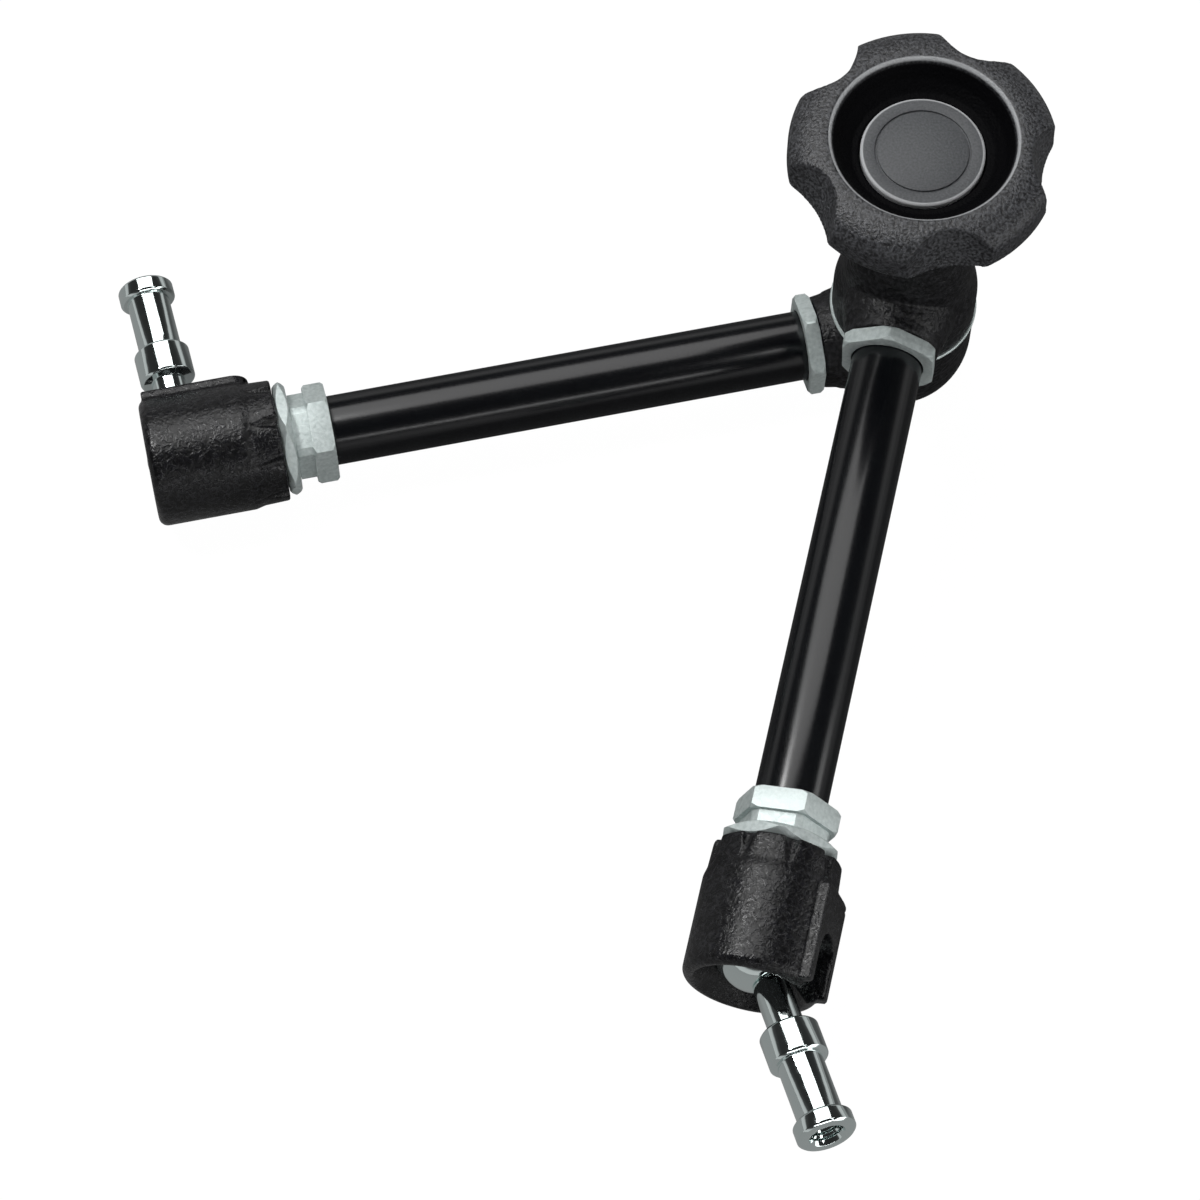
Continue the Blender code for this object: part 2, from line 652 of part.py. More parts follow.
def housing_shape():
    """The housing's turned outside, from the nut's end to its rounded mouth."""
    shoulder = -HOUSING_BACK + SHOULDER_LENGTH
    outline = [
        (-HOUSING_BACK, 0.0),
        (-HOUSING_BACK, HOUSING_NUT_END_RADIUS),
        (shoulder - RIM_ROUND / 2, HOUSING_RADIUS - RIM_ROUND / 4),
        (shoulder + RIM_ROUND / 2, HOUSING_RADIUS),
    ]
    points = 5
    for n in range(points):
        turn = radians(90) * n / (points - 1)
        station = HOUSING_FRONT - RIM_ROUND * (1 - sin(turn))
        outline.append((station, HOUSING_RADIUS - RIM_ROUND * (1 - cos(turn))))
    outline.append((HOUSING_FRONT, 0.0))
    return turned(outline, "X", ROUND)


def cavity_shape():
    """The bore, the round seat that holds the ball in, and the mouth's cone."""
    throat_turn = atan2(sqrt(HOUSING_BORE ** 2 - THROAT_OFFSET ** 2), THROAT_OFFSET) * 180 / pi
    seat = arc(0.0, HOUSING_BORE, 90.0, throat_turn, 5)
    outline = [(-HOUSING_BACK - OVERCUT, 0.0), (-HOUSING_BACK - OVERCUT, HOUSING_BORE)] + seat
    slope = (MOUTH_RADIUS - seat[-1][1]) / (HOUSING_FRONT - THROAT_OFFSET)
    outline.append((HOUSING_FRONT + OVERCUT, MOUTH_RADIUS + slope * OVERCUT))
    outline.append((HOUSING_FRONT + OVERCUT, 0.0))
    return turned(outline, "X", ROUND)


def ball_housing(side, parent, finishes):
    """The cast housing, on a frame at the ball's centre with the slot along +Y."""
    name = side + "_housing"
    housing = mesh_object(name, housing_shape(), finishes["housing"], parent)
    combine(housing, boss_tool(name + "_boss", parent), "UNION")
    combine(housing, flute_tool(name + "_flutes", parent), "DIFFERENCE")
    combine(housing, mesh_object(name + "_cavity", cavity_shape(), None, parent), "DIFFERENCE")
    combine(housing, slot_tool(name + "_slot", parent), "DIFFERENCE")


def stud_ball(side, parent, finishes):
    """The ball, drilled for the stud's tenon."""
    flat_turn = asin(NECK_OF_STUD_RADIUS / BALL_RADIUS) * 180 / pi
    sphere = arc(0.0, BALL_RADIUS, 180.0, flat_turn, 10)
    sphere[0] = (-BALL_RADIUS, 0.0)
    flat = sphere[-1][0]
    hole = TENON_RADIUS + GAP
    outline = sphere + [(flat, hole), (TENON_START - GAP, hole), (TENON_START - GAP, 0.0)]
    mesh_object(side + "_ball", turned(outline, "X", ROUND), finishes["chrome"], parent)


def stud(side, parent, finishes):
    """The 16 mm stud: tenon, neck, collar, waist and a flange with a threaded hole."""
    shoulder = sqrt(BALL_RADIUS ** 2 - NECK_OF_STUD_RADIUS ** 2) + GAP
    collar_end = STUD_COLLAR_START + STUD_COLLAR_LENGTH
    flange = collar_end + STUD_WAIST_LENGTH
    end = flange + STUD_FLANGE_LENGTH
    edge = STUD_RADIUS - STUD_CHAMFER
    outline = [
        (TENON_START, 0.0),
        (TENON_START, TENON_RADIUS),
        (shoulder, TENON_RADIUS),
        (shoulder, NECK_OF_STUD_RADIUS),
        (STUD_COLLAR_START, NECK_OF_STUD_RADIUS),
        (STUD_COLLAR_START, edge),
        (STUD_COLLAR_START + STUD_CHAMFER, STUD_RADIUS),
        (collar_end - STUD_CHAMFER, STUD_RADIUS),
        (collar_end, edge),
        (collar_end, STUD_WAIST_RADIUS),
        (flange, STUD_WAIST_RADIUS),
        (flange, edge),
        (flange + STUD_CHAMFER, STUD_RADIUS),
        (end - STUD_CHAMFER, STUD_RADIUS),
        (end, edge),
        (end, STUD_HOLE_RADIUS),
        (end - STUD_HOLE_DEPTH, STUD_HOLE_RADIUS),
        (end - STUD_HOLE_DEPTH - STUD_HOLE_RADIUS / sqrt(3), 0.0),
    ]
    mesh_object(side + "_stud", turned(outline, "X", ROUND), finishes["chrome"], parent)


def build_arm(side, azimuth, level, slot_roll, swing, rolls, finishes):
    """One arm: everything from its ring nut to its stud, and its casting's frame.

    The rolls turn the ring nut, the end fitting and the jam nut about the tube.
    """
    arm = frame_at(side + "_arm_frame", None, (0.0, 0.0, 0.0), (0.0, 0.0, radians(azimuth)))
    tube(side, arm, level, finishes)
    ring_nut(side, arm, level, rolls[0], finishes)
    end_fitting(side, arm, level, rolls[1], finishes)
    jam_nut(side, arm, level, rolls[2], finishes)
    push_rod(side, arm, level, finishes)
    seat_cup(side, arm, level, finishes)
    joint = frame_at(
        side + "_ball_frame", arm, (ARM_REACH, 0.0, level), (radians(slot_roll), 0.0, 0.0)
    )
    ball_housing(side, joint, finishes)
    stud_frame = frame_at(side + "_stud_frame", joint, (0.0, 0.0, 0.0), (0.0, 0.0, radians(swing)))
    stud_ball(side, stud_frame, finishes)
    stud(side, stud_frame, finishes)
    return arm


def knob_outline():
    """The knob's turned section as (height, radius) points, from the hole round to the dish."""
    wall_top = KNOB_UNDERSIDE + KNOB_WALL_HEIGHT
    rim_top = wall_top + KNOB_SHOULDER_HEIGHT
    hole = INSERT_RADIUS + GAP
    recess = CAP_RADIUS + GAP
    dish_floor = rim_top - DISH_DEPTH
    cap_floor = dish_floor + CAP_RISE - CAP_THICKNESS - GAP
    crest = KNOB_RIM_RADIUS + KNOB_RIM_LAND
    outline = [
        (0.0, hole),
        (0.0, KNOB_BOSS_RADIUS),
        (KNOB_UNDERSIDE, KNOB_BOSS_RADIUS),
        (KNOB_UNDERSIDE, KNOB_RADIUS - KNOB_CORNER),
        (KNOB_UNDERSIDE + KNOB_CORNER, KNOB_RADIUS),
    ]
    points = 7
    for n in range(points):
        turn = radians(90) * n / (points - 1)
        radius = crest + (KNOB_RADIUS - crest) * cos(turn)
        outline.append((wall_top + KNOB_SHOULDER_HEIGHT * sin(turn), radius))
    outline.append((rim_top - KNOB_RIM_LAND, KNOB_RIM_RADIUS))
    outline.append((rim_top - DISH_WALL_DROP, KNOB_RIM_RADIUS - DISH_WALL_RUN))
    outline.append((dish_floor, KNOB_RIM_RADIUS - 2 * DISH_WALL_RUN))
    outline.append((dish_floor, recess))
    outline.append((cap_floor, recess))
    outline.append((cap_floor, hole))
    return outline


def scallop_tool(name, parent, extra):
    """Five leaning cones, narrow and deep at the knob's top, wide and shallow at its underside."""
    top = KNOB_UNDERSIDE + KNOB_WALL_HEIGHT + KNOB_SHOULDER_HEIGHT
    share = OVERCUT / (top - KNOB_UNDERSIDE)
    growth = (SCALLOP_TOP_RADIUS - SCALLOP_BOTTOM_RADIUS) * share
    lean = (SCALLOP_TOP_REACH - SCALLOP_BOTTOM_REACH) * share
    low_radius = SCALLOP_BOTTOM_RADIUS - growth
    high_radius = SCALLOP_TOP_RADIUS + growth
    low_middle = SCALLOP_BOTTOM_REACH - lean + low_radius
    high_middle = SCALLOP_TOP_REACH + lean + high_radius
    depth = top - KNOB_UNDERSIDE + 2 * OVERCUT
    bm = bmesh.new()
    for n in range(SCALLOPS):
        cone = bmesh.ops.create_cone(
            bm,
            cap_ends=True,
            segments=FINE,
            radius1=low_radius + extra,
            radius2=high_radius + extra,
            depth=depth,
        )
        turn = Matrix.Rotation(radians(FIRST_SCALLOP_AZIMUTH) + 2 * pi * n / SCALLOPS, 4, "Z")
        for corner in cone["verts"]:
            rise = corner.co.z / depth + 0.5
            corner.co.x = corner.co.x + low_middle + (high_middle - low_middle) * rise
            corner.co.z = corner.co.z + KNOB_UNDERSIDE + depth / 2 - OVERCUT
            corner.co = turn @ corner.co
    return mesh_object(name, bm, None, parent)


def rib_tool(name, parent):
    """The ribs that are left standing between the hub and each scallop."""
    bm = bmesh.new()
    for n in range(SCALLOPS):
        azimuth = radians(FIRST_SCALLOP_AZIMUTH) + 2 * pi * n / SCALLOPS
        size = Matrix.Diagonal((KNOB_RADIUS, KNOB_RIB, KNOB_UNDERSIDE * 4, 1.0))
        middle = Matrix.Translation((KNOB_RADIUS / 2 + KNOB_BOSS_RADIUS / 2, 0.0, KNOB_UNDERSIDE))
        bmesh.ops.create_cube(bm, size=1.0, matrix=Matrix.Rotation(azimuth, 4, "Z") @ middle @ size)
    return mesh_object(name, bm, None, parent)


def knob(finishes):
    """The moulded knob with its scallops and cored underside, its insert and its cap."""
    frame = frame_at("knob_frame", None, (0.0, 0.0, KNOB_Z), (0.0, 0.0, 0.0))
    body = mesh_object("knob_body", turned(knob_outline(), "Z", FINE), finishes["knob"], frame)
    combine(body, scallop_tool("scallops", frame, 0.0), "DIFFERENCE")
    pocket_outline = [
        (KNOB_UNDERSIDE - OVERCUT, KNOB_POCKET_INNER_RADIUS),
        (KNOB_UNDERSIDE - OVERCUT, KNOB_RADIUS - KNOB_WALL),
        (KNOB_UNDERSIDE + KNOB_POCKET_DEPTH, KNOB_RADIUS - KNOB_WALL),
        (KNOB_UNDERSIDE + KNOB_POCKET_DEPTH, KNOB_POCKET_INNER_RADIUS),
    ]
    pocket = mesh_object("underside_pocket", turned(pocket_outline, "Z", FINE), None, frame)
    combine(pocket, scallop_tool("scallop_walls", frame, KNOB_WALL), "DIFFERENCE")
    combine(pocket, rib_tool("ribs", frame), "DIFFERENCE")
    combine(body, pocket, "DIFFERENCE")
    insert = [
        (0.0, THREAD_BORE),
        (0.0, INSERT_RADIUS),
        (INSERT_LENGTH, INSERT_RADIUS),
        (INSERT_LENGTH, THREAD_BORE),
    ]
    mesh_object("knob_insert", turned(insert, "Z", SMALL), finishes["brass"], frame)
    knob_cap(frame, finishes)


def knob_cap(frame, finishes):
    """The plain disc in the knob's dish, with one turned groove."""
    rim_top = KNOB_UNDERSIDE + KNOB_WALL_HEIGHT + KNOB_SHOULDER_HEIGHT
    top = rim_top - DISH_DEPTH + CAP_RISE
    bottom = top - CAP_THICKNESS
    half = CAP_GROOVE_SIZE / 2
    outline = [
        (bottom, 0.0),
        (bottom, CAP_RADIUS),
        (top - KNOB_CORNER, CAP_RADIUS),
        (top, CAP_RADIUS - KNOB_CORNER),
        (top, CAP_GROOVE_RADIUS + half),
        (top - CAP_GROOVE_SIZE, CAP_GROOVE_RADIUS),
        (top, CAP_GROOVE_RADIUS - half),
        (top, 0.0),
    ]
    mesh_object("knob_cap", turned(outline, "Z", FINE), finishes["cap"], frame)


def thrust_washer(parent, finishes):
    """The steel washer that the knob turns on."""
    outline = [
        (WASHER_Z, THREAD_BORE),
        (WASHER_Z, WASHER_RADIUS),
        (WASHER_Z + WASHER_THICKNESS, WASHER_RADIUS),
        (WASHER_Z + WASHER_THICKNESS, THREAD_BORE),
    ]
    mesh_object("thrust_washer", turned(outline, "Z", ROUND), finishes["steel"], parent)


def build():
    """The whole arm."""
    clear_scene()
    finishes = make_finishes()
    base_rolls = (BASE_RING_NUT_ROLL, BASE_FITTING_ROLL, BASE_JAM_NUT_ROLL)
    load_rolls = (LOAD_RING_NUT_ROLL, LOAD_FITTING_ROLL, LOAD_JAM_NUT_ROLL)
    base = build_arm(
        "base", BASE_AZIMUTH, BASE_AXIS_Z, BASE_SLOT_ROLL, BASE_STUD_SWING, base_rolls, finishes
    )
    load = build_arm(
        "load", LOAD_AZIMUTH, LOAD_AXIS_Z, LOAD_SLOT_ROLL, LOAD_STUD_SWING, load_rolls, finishes
    )
    upper_casting(base, finishes)
    thrust_washer(base, finishes)
    friction_ring(base, finishes)
    lower_casting(load, finishes)
    base_plug(load, finishes)
    spindle(load, finishes)
    disc_spring(load, finishes)
    knob(finishes)


build()
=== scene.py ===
"""Looks of an articulating friction arm: black tubes, castings and housings, bright nuts and studs."""

import json
from math import asin, atan2, cos, pi, radians, sin, sqrt

import bpy
from mathutils import Matrix, Vector


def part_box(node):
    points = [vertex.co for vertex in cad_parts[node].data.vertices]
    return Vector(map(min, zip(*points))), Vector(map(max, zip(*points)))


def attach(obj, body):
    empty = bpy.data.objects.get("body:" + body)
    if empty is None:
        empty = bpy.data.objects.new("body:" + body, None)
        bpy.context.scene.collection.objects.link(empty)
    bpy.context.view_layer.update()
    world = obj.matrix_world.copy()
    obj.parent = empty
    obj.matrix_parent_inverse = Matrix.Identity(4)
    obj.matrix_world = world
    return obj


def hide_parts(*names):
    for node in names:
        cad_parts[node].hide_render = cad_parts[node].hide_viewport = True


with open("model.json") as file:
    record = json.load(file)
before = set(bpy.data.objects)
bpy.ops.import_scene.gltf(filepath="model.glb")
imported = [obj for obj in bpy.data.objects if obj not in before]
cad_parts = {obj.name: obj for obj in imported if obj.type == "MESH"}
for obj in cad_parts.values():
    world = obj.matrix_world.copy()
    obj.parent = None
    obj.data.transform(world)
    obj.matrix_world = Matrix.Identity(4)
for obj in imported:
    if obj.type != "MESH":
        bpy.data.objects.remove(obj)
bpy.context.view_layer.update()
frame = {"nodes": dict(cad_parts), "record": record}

# How bright the floor's glow is in reflections, near the elbow and out by the studs: dimmed near the elbow
# as painted shade
FLOOR_BY_ELBOW = 0.05
FLOOR_BY_STUDS = 0.28
# Distances from the elbow's axis between which it turns from the one to the other
ELBOW_FLOOR_END = 0.17
STUDS_FLOOR_START = 0.24
# How bright the floor is to the camera, and its glow's share over its matte
FLOOR_SEEN = 1.03
FLOOR_GLOW_SHARE = 0.96

# A piece's gap in its seat, a cutter's run past a face, and how near points count as one
GAP = 0.0003
OVERCUT = 0.0010
MERGE = 0.000002

# Sides of a turned piece
VERY_FINE = 160
FINE = 112
COARSE = 48

# Elbow castings
HUB_RADIUS = 0.0205
FOOT_RADIUS = 0.0140
FOOT_ROUND_HEIGHT = 0.0200
NECK_RADIUS = 0.0130
WAIST_RADIUS = 0.0184
WAIST_START = -0.0050
WAIST_END = 0.0070
SOCKET_RADIUS = 0.0160
SOCKET_TAPER_START = 0.0130
SOCKET_LIP_START = 0.0206
SOCKET_LIP_RADIUS = 0.0142
SOCKET_LIP_LENGTH = 0.0003
SOCKET_STEP = 0.0004
SOCKET_END = 0.0248
SOCKET_END_RADIUS = 0.0132
TUBE_START = 0.0193
FRICTION_RING_INNER_RADIUS = 0.0095
FRICTION_RING_LIP = 0.0005
FRICTION_RING_CHAMFER = 0.0003
ROD_BORE = 0.0033
SPINDLE_BORE = 0.0083
SPINDLE_BORE_RISE = 0.0100
THREAD_BORE = 0.0043
POCKET_RADIUS = 0.0123
HEAD_CEILING_Z = 0.0092
WASHER_RADIUS = 0.0118
WASHER_EDGE = 0.0002
PLUG_RADIUS = 0.0120
PLUG_EDGE = 0.0003
CASTING_VOXEL = 0.00040
CAST_SMOOTHING = 5

# Ball housings, measured from the ball's centre
HOUSING_RADIUS = 0.0183
HOUSING_NUT_END_RADIUS = 0.0174
HOUSING_NUT_END_CHAMFER = 0.0004
SHOULDER_LENGTH = 0.0087
RIM_ROUND = 0.0026
MOUTH_RADIUS = 0.0154
THROAT_OFFSET = 0.0056
SLOT_WIDTH = 0.0115
BOSS_HEIGHT = 0.0190
BOSS_WIDTH = 0.0178
BOSS_LENGTH = 0.0308
BOSS_CORNER = 0.0050
BOSS_EDGE = 0.0007
FLUTES = 9
FLUTE_RADIUS = 0.0024
FLUTE_LENGTH = 0.0125
FLUTE_RISE = 0.0004
HOUSING_VOXEL = 0.00038
HOUSING_SMOOTHING = 2

# Studs and balls
BALL_RADIUS = 0.0115
# Degrees from the stud at which the ball's far end is closed
BALL_FAR_END = 178
NECK_OF_STUD_RADIUS = 0.0049
STUD_RADIUS = 0.0080
STUD_COLLAR_START = 0.0252
STUD_COLLAR_END = 0.0352
STUD_WAIST_RADIUS = 0.00615
STUD_FLANGE_START = 0.0522
STUD_END = 0.0572
STUD_CHAMFER = 0.0007
STUD_EDGE = 0.00018
STUD_HOLE_FLARE = 0.0003
STUD_HOLE_FLARE_DEPTH = 0.0005
STUD_THREAD_CREST = 0.0041
STUD_THREAD_ROOT = 0.0047
STUD_THREAD_PITCH = 0.0016
STUD_THREAD_TURNS = 8

# Nuts and fittings
RING_NUT_ACROSS_FLATS = 0.0256
RING_NUT_BLANK_RADIUS = 0.0146
RING_NUT_CHAMFER = 0.0008
RING_NUT_CHAMFER_DROP = 0.0009
FITTING_ACROSS_FLATS = 0.0250
FITTING_BLANK_RADIUS = 0.0144
FITTING_CHAMFER = 0.0008
FITTING_POCKET_DEPTH = 0.0056
NUT_EDGE = 0.00022
COLLAR_ACROSS_FLATS = 0.0222
COLLAR_RADIUS = 0.0122
COLLAR_LENGTH = 0.0045
SHANK_RADIUS = 0.0115
JAM_NUT_ACROSS_FLATS = 0.0306
JAM_NUT_BLANK_RADIUS = 0.0172
JAM_NUT_FACE_RADIUS = 0.0149
JAM_NUT_EDGE = 0.0002
# How far each hexagon's corner is turned from straight up: ring nut, end fitting, jam nut
ROLLS = {"base": (2.3, -18.8, 0.0), "load": (-4.5, 9.4, -19.1)}
TUBE_RADIUS = 0.0100
TUBE_WALL = 0.0020
TUBE_CHAMFER = 0.0004
TUBE_BORE = 0.0103

# Knob, measured from the underside of its boss
KNOB_RADIUS = 0.0365
KNOB_BOSS_RADIUS = 0.0120
KNOB_HOLE_RADIUS = 0.0070
KNOB_UNDERSIDE = 0.0103
KNOB_WALL_TOP = 0.0173
KNOB_TOP = 0.0238
KNOB_RIM_RADIUS = 0.0253
KNOB_RIM_LAND = 0.0006
KNOB_CORNER = 0.0006
DISH_FLOOR = 0.0154
DISH_WALL_FOOT = 0.0182
DISH_WALL_RUN = 0.0030
CAP_RECESS_RADIUS = 0.0172
CAP_RECESS_DEPTH = 0.0021
CAP_RADIUS = 0.0169
CAP_CHAMFER = 0.0005
CAP_EDGE = 0.00015
CAP_GROOVE_RADIUS = 0.0127
CAP_GROOVE_SIZE = 0.0006
SCALLOPS = 5
SCALLOP_TOP_RADIUS = 0.0117
SCALLOP_BOTTOM_RADIUS = 0.0280
SCALLOP_TOP_REACH = 0.02875
SCALLOP_BOTTOM_REACH = 0.0329
FIRST_SCALLOP_AZIMUTH = -8.2
KNOB_WALL = 0.0030
KNOB_RIB = 0.0022
KNOB_POCKET_DEPTH = 0.0040
KNOB_POCKET_INNER_RADIUS = 0.0200
KNOB_VOXEL = 0.00042
KNOB_SMOOTHING = 2
# Distances from the knob's axis: the painted shade that blackens the dish and the painted highlight lines
# on rim and cap
DISH_SHADE_INSIDE = KNOB_RIM_RADIUS - 0.0009
DISH_SHADE_END = KNOB_RIM_RADIUS - 0.0003
RIM_HIGHLIGHT_RADIUS = KNOB_RIM_RADIUS + 0.0001
RIM_HIGHLIGHT_WIDTH = 0.00055
CAP_HIGHLIGHT_RADIUS = CAP_RADIUS - 0.0002
CAP_HIGHLIGHT_WIDTH = 0.0007


def select_only(piece):
    """Make one piece the selected and active one."""
    bpy.ops.object.select_all(action="DESELECT")
    piece.select_set(True)
    bpy.context.view_layer.objects.active = piece


def turned(name, outline, sides):
    """Extrude a circle along an outline of (station on Z, radius) points.

    An outline that comes back to its first point is a ring, and any other is
    closed with a flat face at each end.
    """
    bpy.ops.object.select_all(action="DESELECT")
    station, radius = outline[0]
    bpy.ops.mesh.primitive_circle_add(vertices=sides, radius=radius, location=(0, 0, station))
    piece = bpy.context.object
    piece.name = name
    bpy.ops.object.transform_apply(location=True, rotation=False, scale=False)
    bpy.ops.object.mode_set(mode="EDIT")
    bpy.ops.mesh.select_all(action="SELECT")
    for next_station, next_radius in outline[1:]:
        step = {"value": (0, 0, next_station - station)}
        bpy.ops.mesh.extrude_region_move(TRANSFORM_OT_translate=step)
        growth = next_radius / radius
        bpy.ops.transform.resize(value=(growth, growth, 1), center_override=(0, 0, next_station))
        station = next_station
        radius = next_radius
    bpy.ops.mesh.select_all(action="SELECT")
    bpy.ops.mesh.remove_doubles(threshold=MERGE)
    bpy.ops.mesh.fill_holes(sides=0)
    bpy.ops.mesh.normals_make_consistent(inside=False)
    bpy.ops.object.mode_set(mode="OBJECT")
    return piece


def block(name, low, high):
    """A box between two corners, with its place in its mesh."""
    middle = (Vector(low) + Vector(high)) / 2
    bpy.ops.object.select_all(action="DESELECT")
    bpy.ops.mesh.primitive_cube_add(size=1, location=middle)
    piece = bpy.context.object
    piece.name = name
    piece.scale = Vector(high) - Vector(low)
    bpy.ops.object.transform_apply(location=True, rotation=True, scale=True)
    return piece


def apply_modifier(piece, kind, **settings):
    """Add one modifier, set it and apply it."""
    select_only(piece)
    modifier = piece.modifiers.new(kind.lower(), kind)
    for key, value in settings.items():
        setattr(modifier, key, value)
    bpy.ops.object.modifier_apply(modifier=modifier.name)


def boolean(piece, tool, operation):
    """Join or cut with a tool, which is used up."""
    apply_modifier(piece, "BOOLEAN", object=tool, operation=operation, solver="EXACT")
    bpy.data.objects.remove(tool, do_unlink=True)


def soften(piece, width, segments, angle):
    """Round the edges sharper than an angle."""
    apply_modifier(
        piece, "BEVEL", width=width, segments=segments, limit_method="ANGLE", angle_limit=radians(angle)
    )


def cast(piece, voxel, rounds):
    """Give a piece the blended edges of a casting or moulding."""
    apply_modifier(piece, "REMESH", mode="VOXEL", voxel_size=voxel)
    apply_modifier(piece, "SMOOTH", factor=0.5, iterations=rounds)


def lay(piece, place, angle=30):
    """Move a piece from the bench to its place, with the place in its mesh, and shade it."""
    select_only(piece)
    piece.matrix_world = place
    bpy.ops.object.transform_apply(location=True, rotation=True, scale=True)
    bpy.ops.object.shade_smooth_by_angle(angle=radians(angle))


def stand_for(piece, node, body, material):
    """Let a piece replace a CAD node, ride on its body and wear its finish."""
    piece.data.materials.clear()
    piece.data.materials.append(material)
    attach(piece, body)
    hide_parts(node)


def place_from(origin, along, side):
    """The matrix that lays the bench's Z along one direction and its X near another."""
    z = Vector(along).normalized()
    x = (Vector(side) - Vector(side).dot(z) * z).normalized()
    y = z.cross(x)
    turn = Matrix((x, y, z)).transposed().to_4x4()
    return Matrix.Translation(origin) @ turn


def eased(start, end, first, last, points):
    """Points of a wall that eases from one radius to another between two heights."""
    wall = []
    for n in range(points):
        share = n / (points - 1)
        wall.append((start + (end - start) * share, last + (first - last) * (1 + cos(pi * share)) / 2))
    return wall


def flats_tool(start, end, across, roll):
    """A hexagonal ring that mills a blank, with a corner turned a roll away from straight up."""
    corner = across / sqrt(3)
    ring = [(start, corner), (start, corner * 2), (end, corner * 2), (end, corner), (start, corner)]
    tool = turned("flats", ring, 6)
    select_only(tool)
    tool.rotation_euler = (0, 0, radians(roll - 30))
    bpy.ops.object.transform_apply(location=False, rotation=True, scale=False)
    return tool


def elbow_socket(level, along):
    """The tapered socket, laid from the elbow's axis along its tube."""
    outline = [
        (0.0, SOCKET_RADIUS),
        (SOCKET_TAPER_START, SOCKET_RADIUS),
        (SOCKET_LIP_START, SOCKET_LIP_RADIUS),
        (SOCKET_LIP_START + SOCKET_LIP_LENGTH, SOCKET_LIP_RADIUS - SOCKET_STEP),
        (SOCKET_END, SOCKET_END_RADIUS),
    ]
    socket = turned("socket", outline, FINE)
    lay(socket, place_from((0, 0, level), along, (0, 0, 1)))
    return socket


def tube_bore(level, along):
    """The bore that the tube enters, and the rod's bore behind it."""
    floor = TUBE_START - GAP
    outline = [
        (0.0, ROD_BORE),
        (floor, ROD_BORE),
        (floor, TUBE_BORE),
        (SOCKET_END * 1.5, TUBE_BORE),
    ]
    bore = turned("tube_bore", outline, COARSE)
    lay(bore, place_from((0, 0, level), along, (0, 0, 1)))
    return bore


def make_lower_casting(level, along, bottom, top):
    """The lower half of the elbow."""
    points = 13
    outline = []
    for n in range(points):
        share = n / (points - 1)
        radius = FOOT_RADIUS + (HUB_RADIUS - FOOT_RADIUS) * share * (2 - share)
        outline.append((bottom + FOOT_ROUND_HEIGHT * share, radius))
    outline.append((top, HUB_RADIUS))
    casting = turned("lower_casting_skin", outline, FINE)
    boolean(casting, elbow_socket(level, along), "UNION")
    reach = SOCKET_END * 2
    boolean(casting, block("above", (-reach, -reach, top), (reach, reach, top * 2)), "DIFFERENCE")
    bores = [
        (-OVERCUT, POCKET_RADIUS),
        (HEAD_CEILING_Z, POCKET_RADIUS),
        (HEAD_CEILING_Z, SPINDLE_BORE),
        (top + OVERCUT, SPINDLE_BORE),
    ]
    boolean(casting, turned("bore", bores, COARSE), "DIFFERENCE")
    boolean(casting, tube_bore(level, along), "DIFFERENCE")
    cast(casting, CASTING_VOXEL, CAST_SMOOTHING)
    lay(casting, Matrix.Identity(4))
    return casting


def make_upper_casting(level, along, bottom, top):
    """The upper half of the elbow, with the neck that rises to the knob."""
    outline = [(bottom, HUB_RADIUS)]
    outline = outline + eased(level + WAIST_START, level + WAIST_END, HUB_RADIUS, WAIST_RADIUS, 9)
    outline = outline + eased(level + WAIST_END, top, WAIST_RADIUS, NECK_RADIUS, 15)[1:]
    casting = turned("upper_casting_skin", outline, FINE)
    boolean(casting, elbow_socket(level, along), "UNION")
    reach = SOCKET_END * 2
    boolean(casting, block("below", (-reach, -reach, bottom / 2), (reach, reach, bottom)), "DIFFERENCE")
    ceiling = level + SPINDLE_BORE_RISE
    bores = [
        (bottom - OVERCUT, SPINDLE_BORE),
        (ceiling, SPINDLE_BORE),
        (ceiling, THREAD_BORE),
        (top + OVERCUT, THREAD_BORE),
    ]
    boolean(casting, turned("bore", bores, COARSE), "DIFFERENCE")
    boolean(casting, tube_bore(level, along), "DIFFERENCE")
    cast(casting, CASTING_VOXEL, CAST_SMOOTHING)
    lay(casting, Matrix.Identity(4))
    return casting


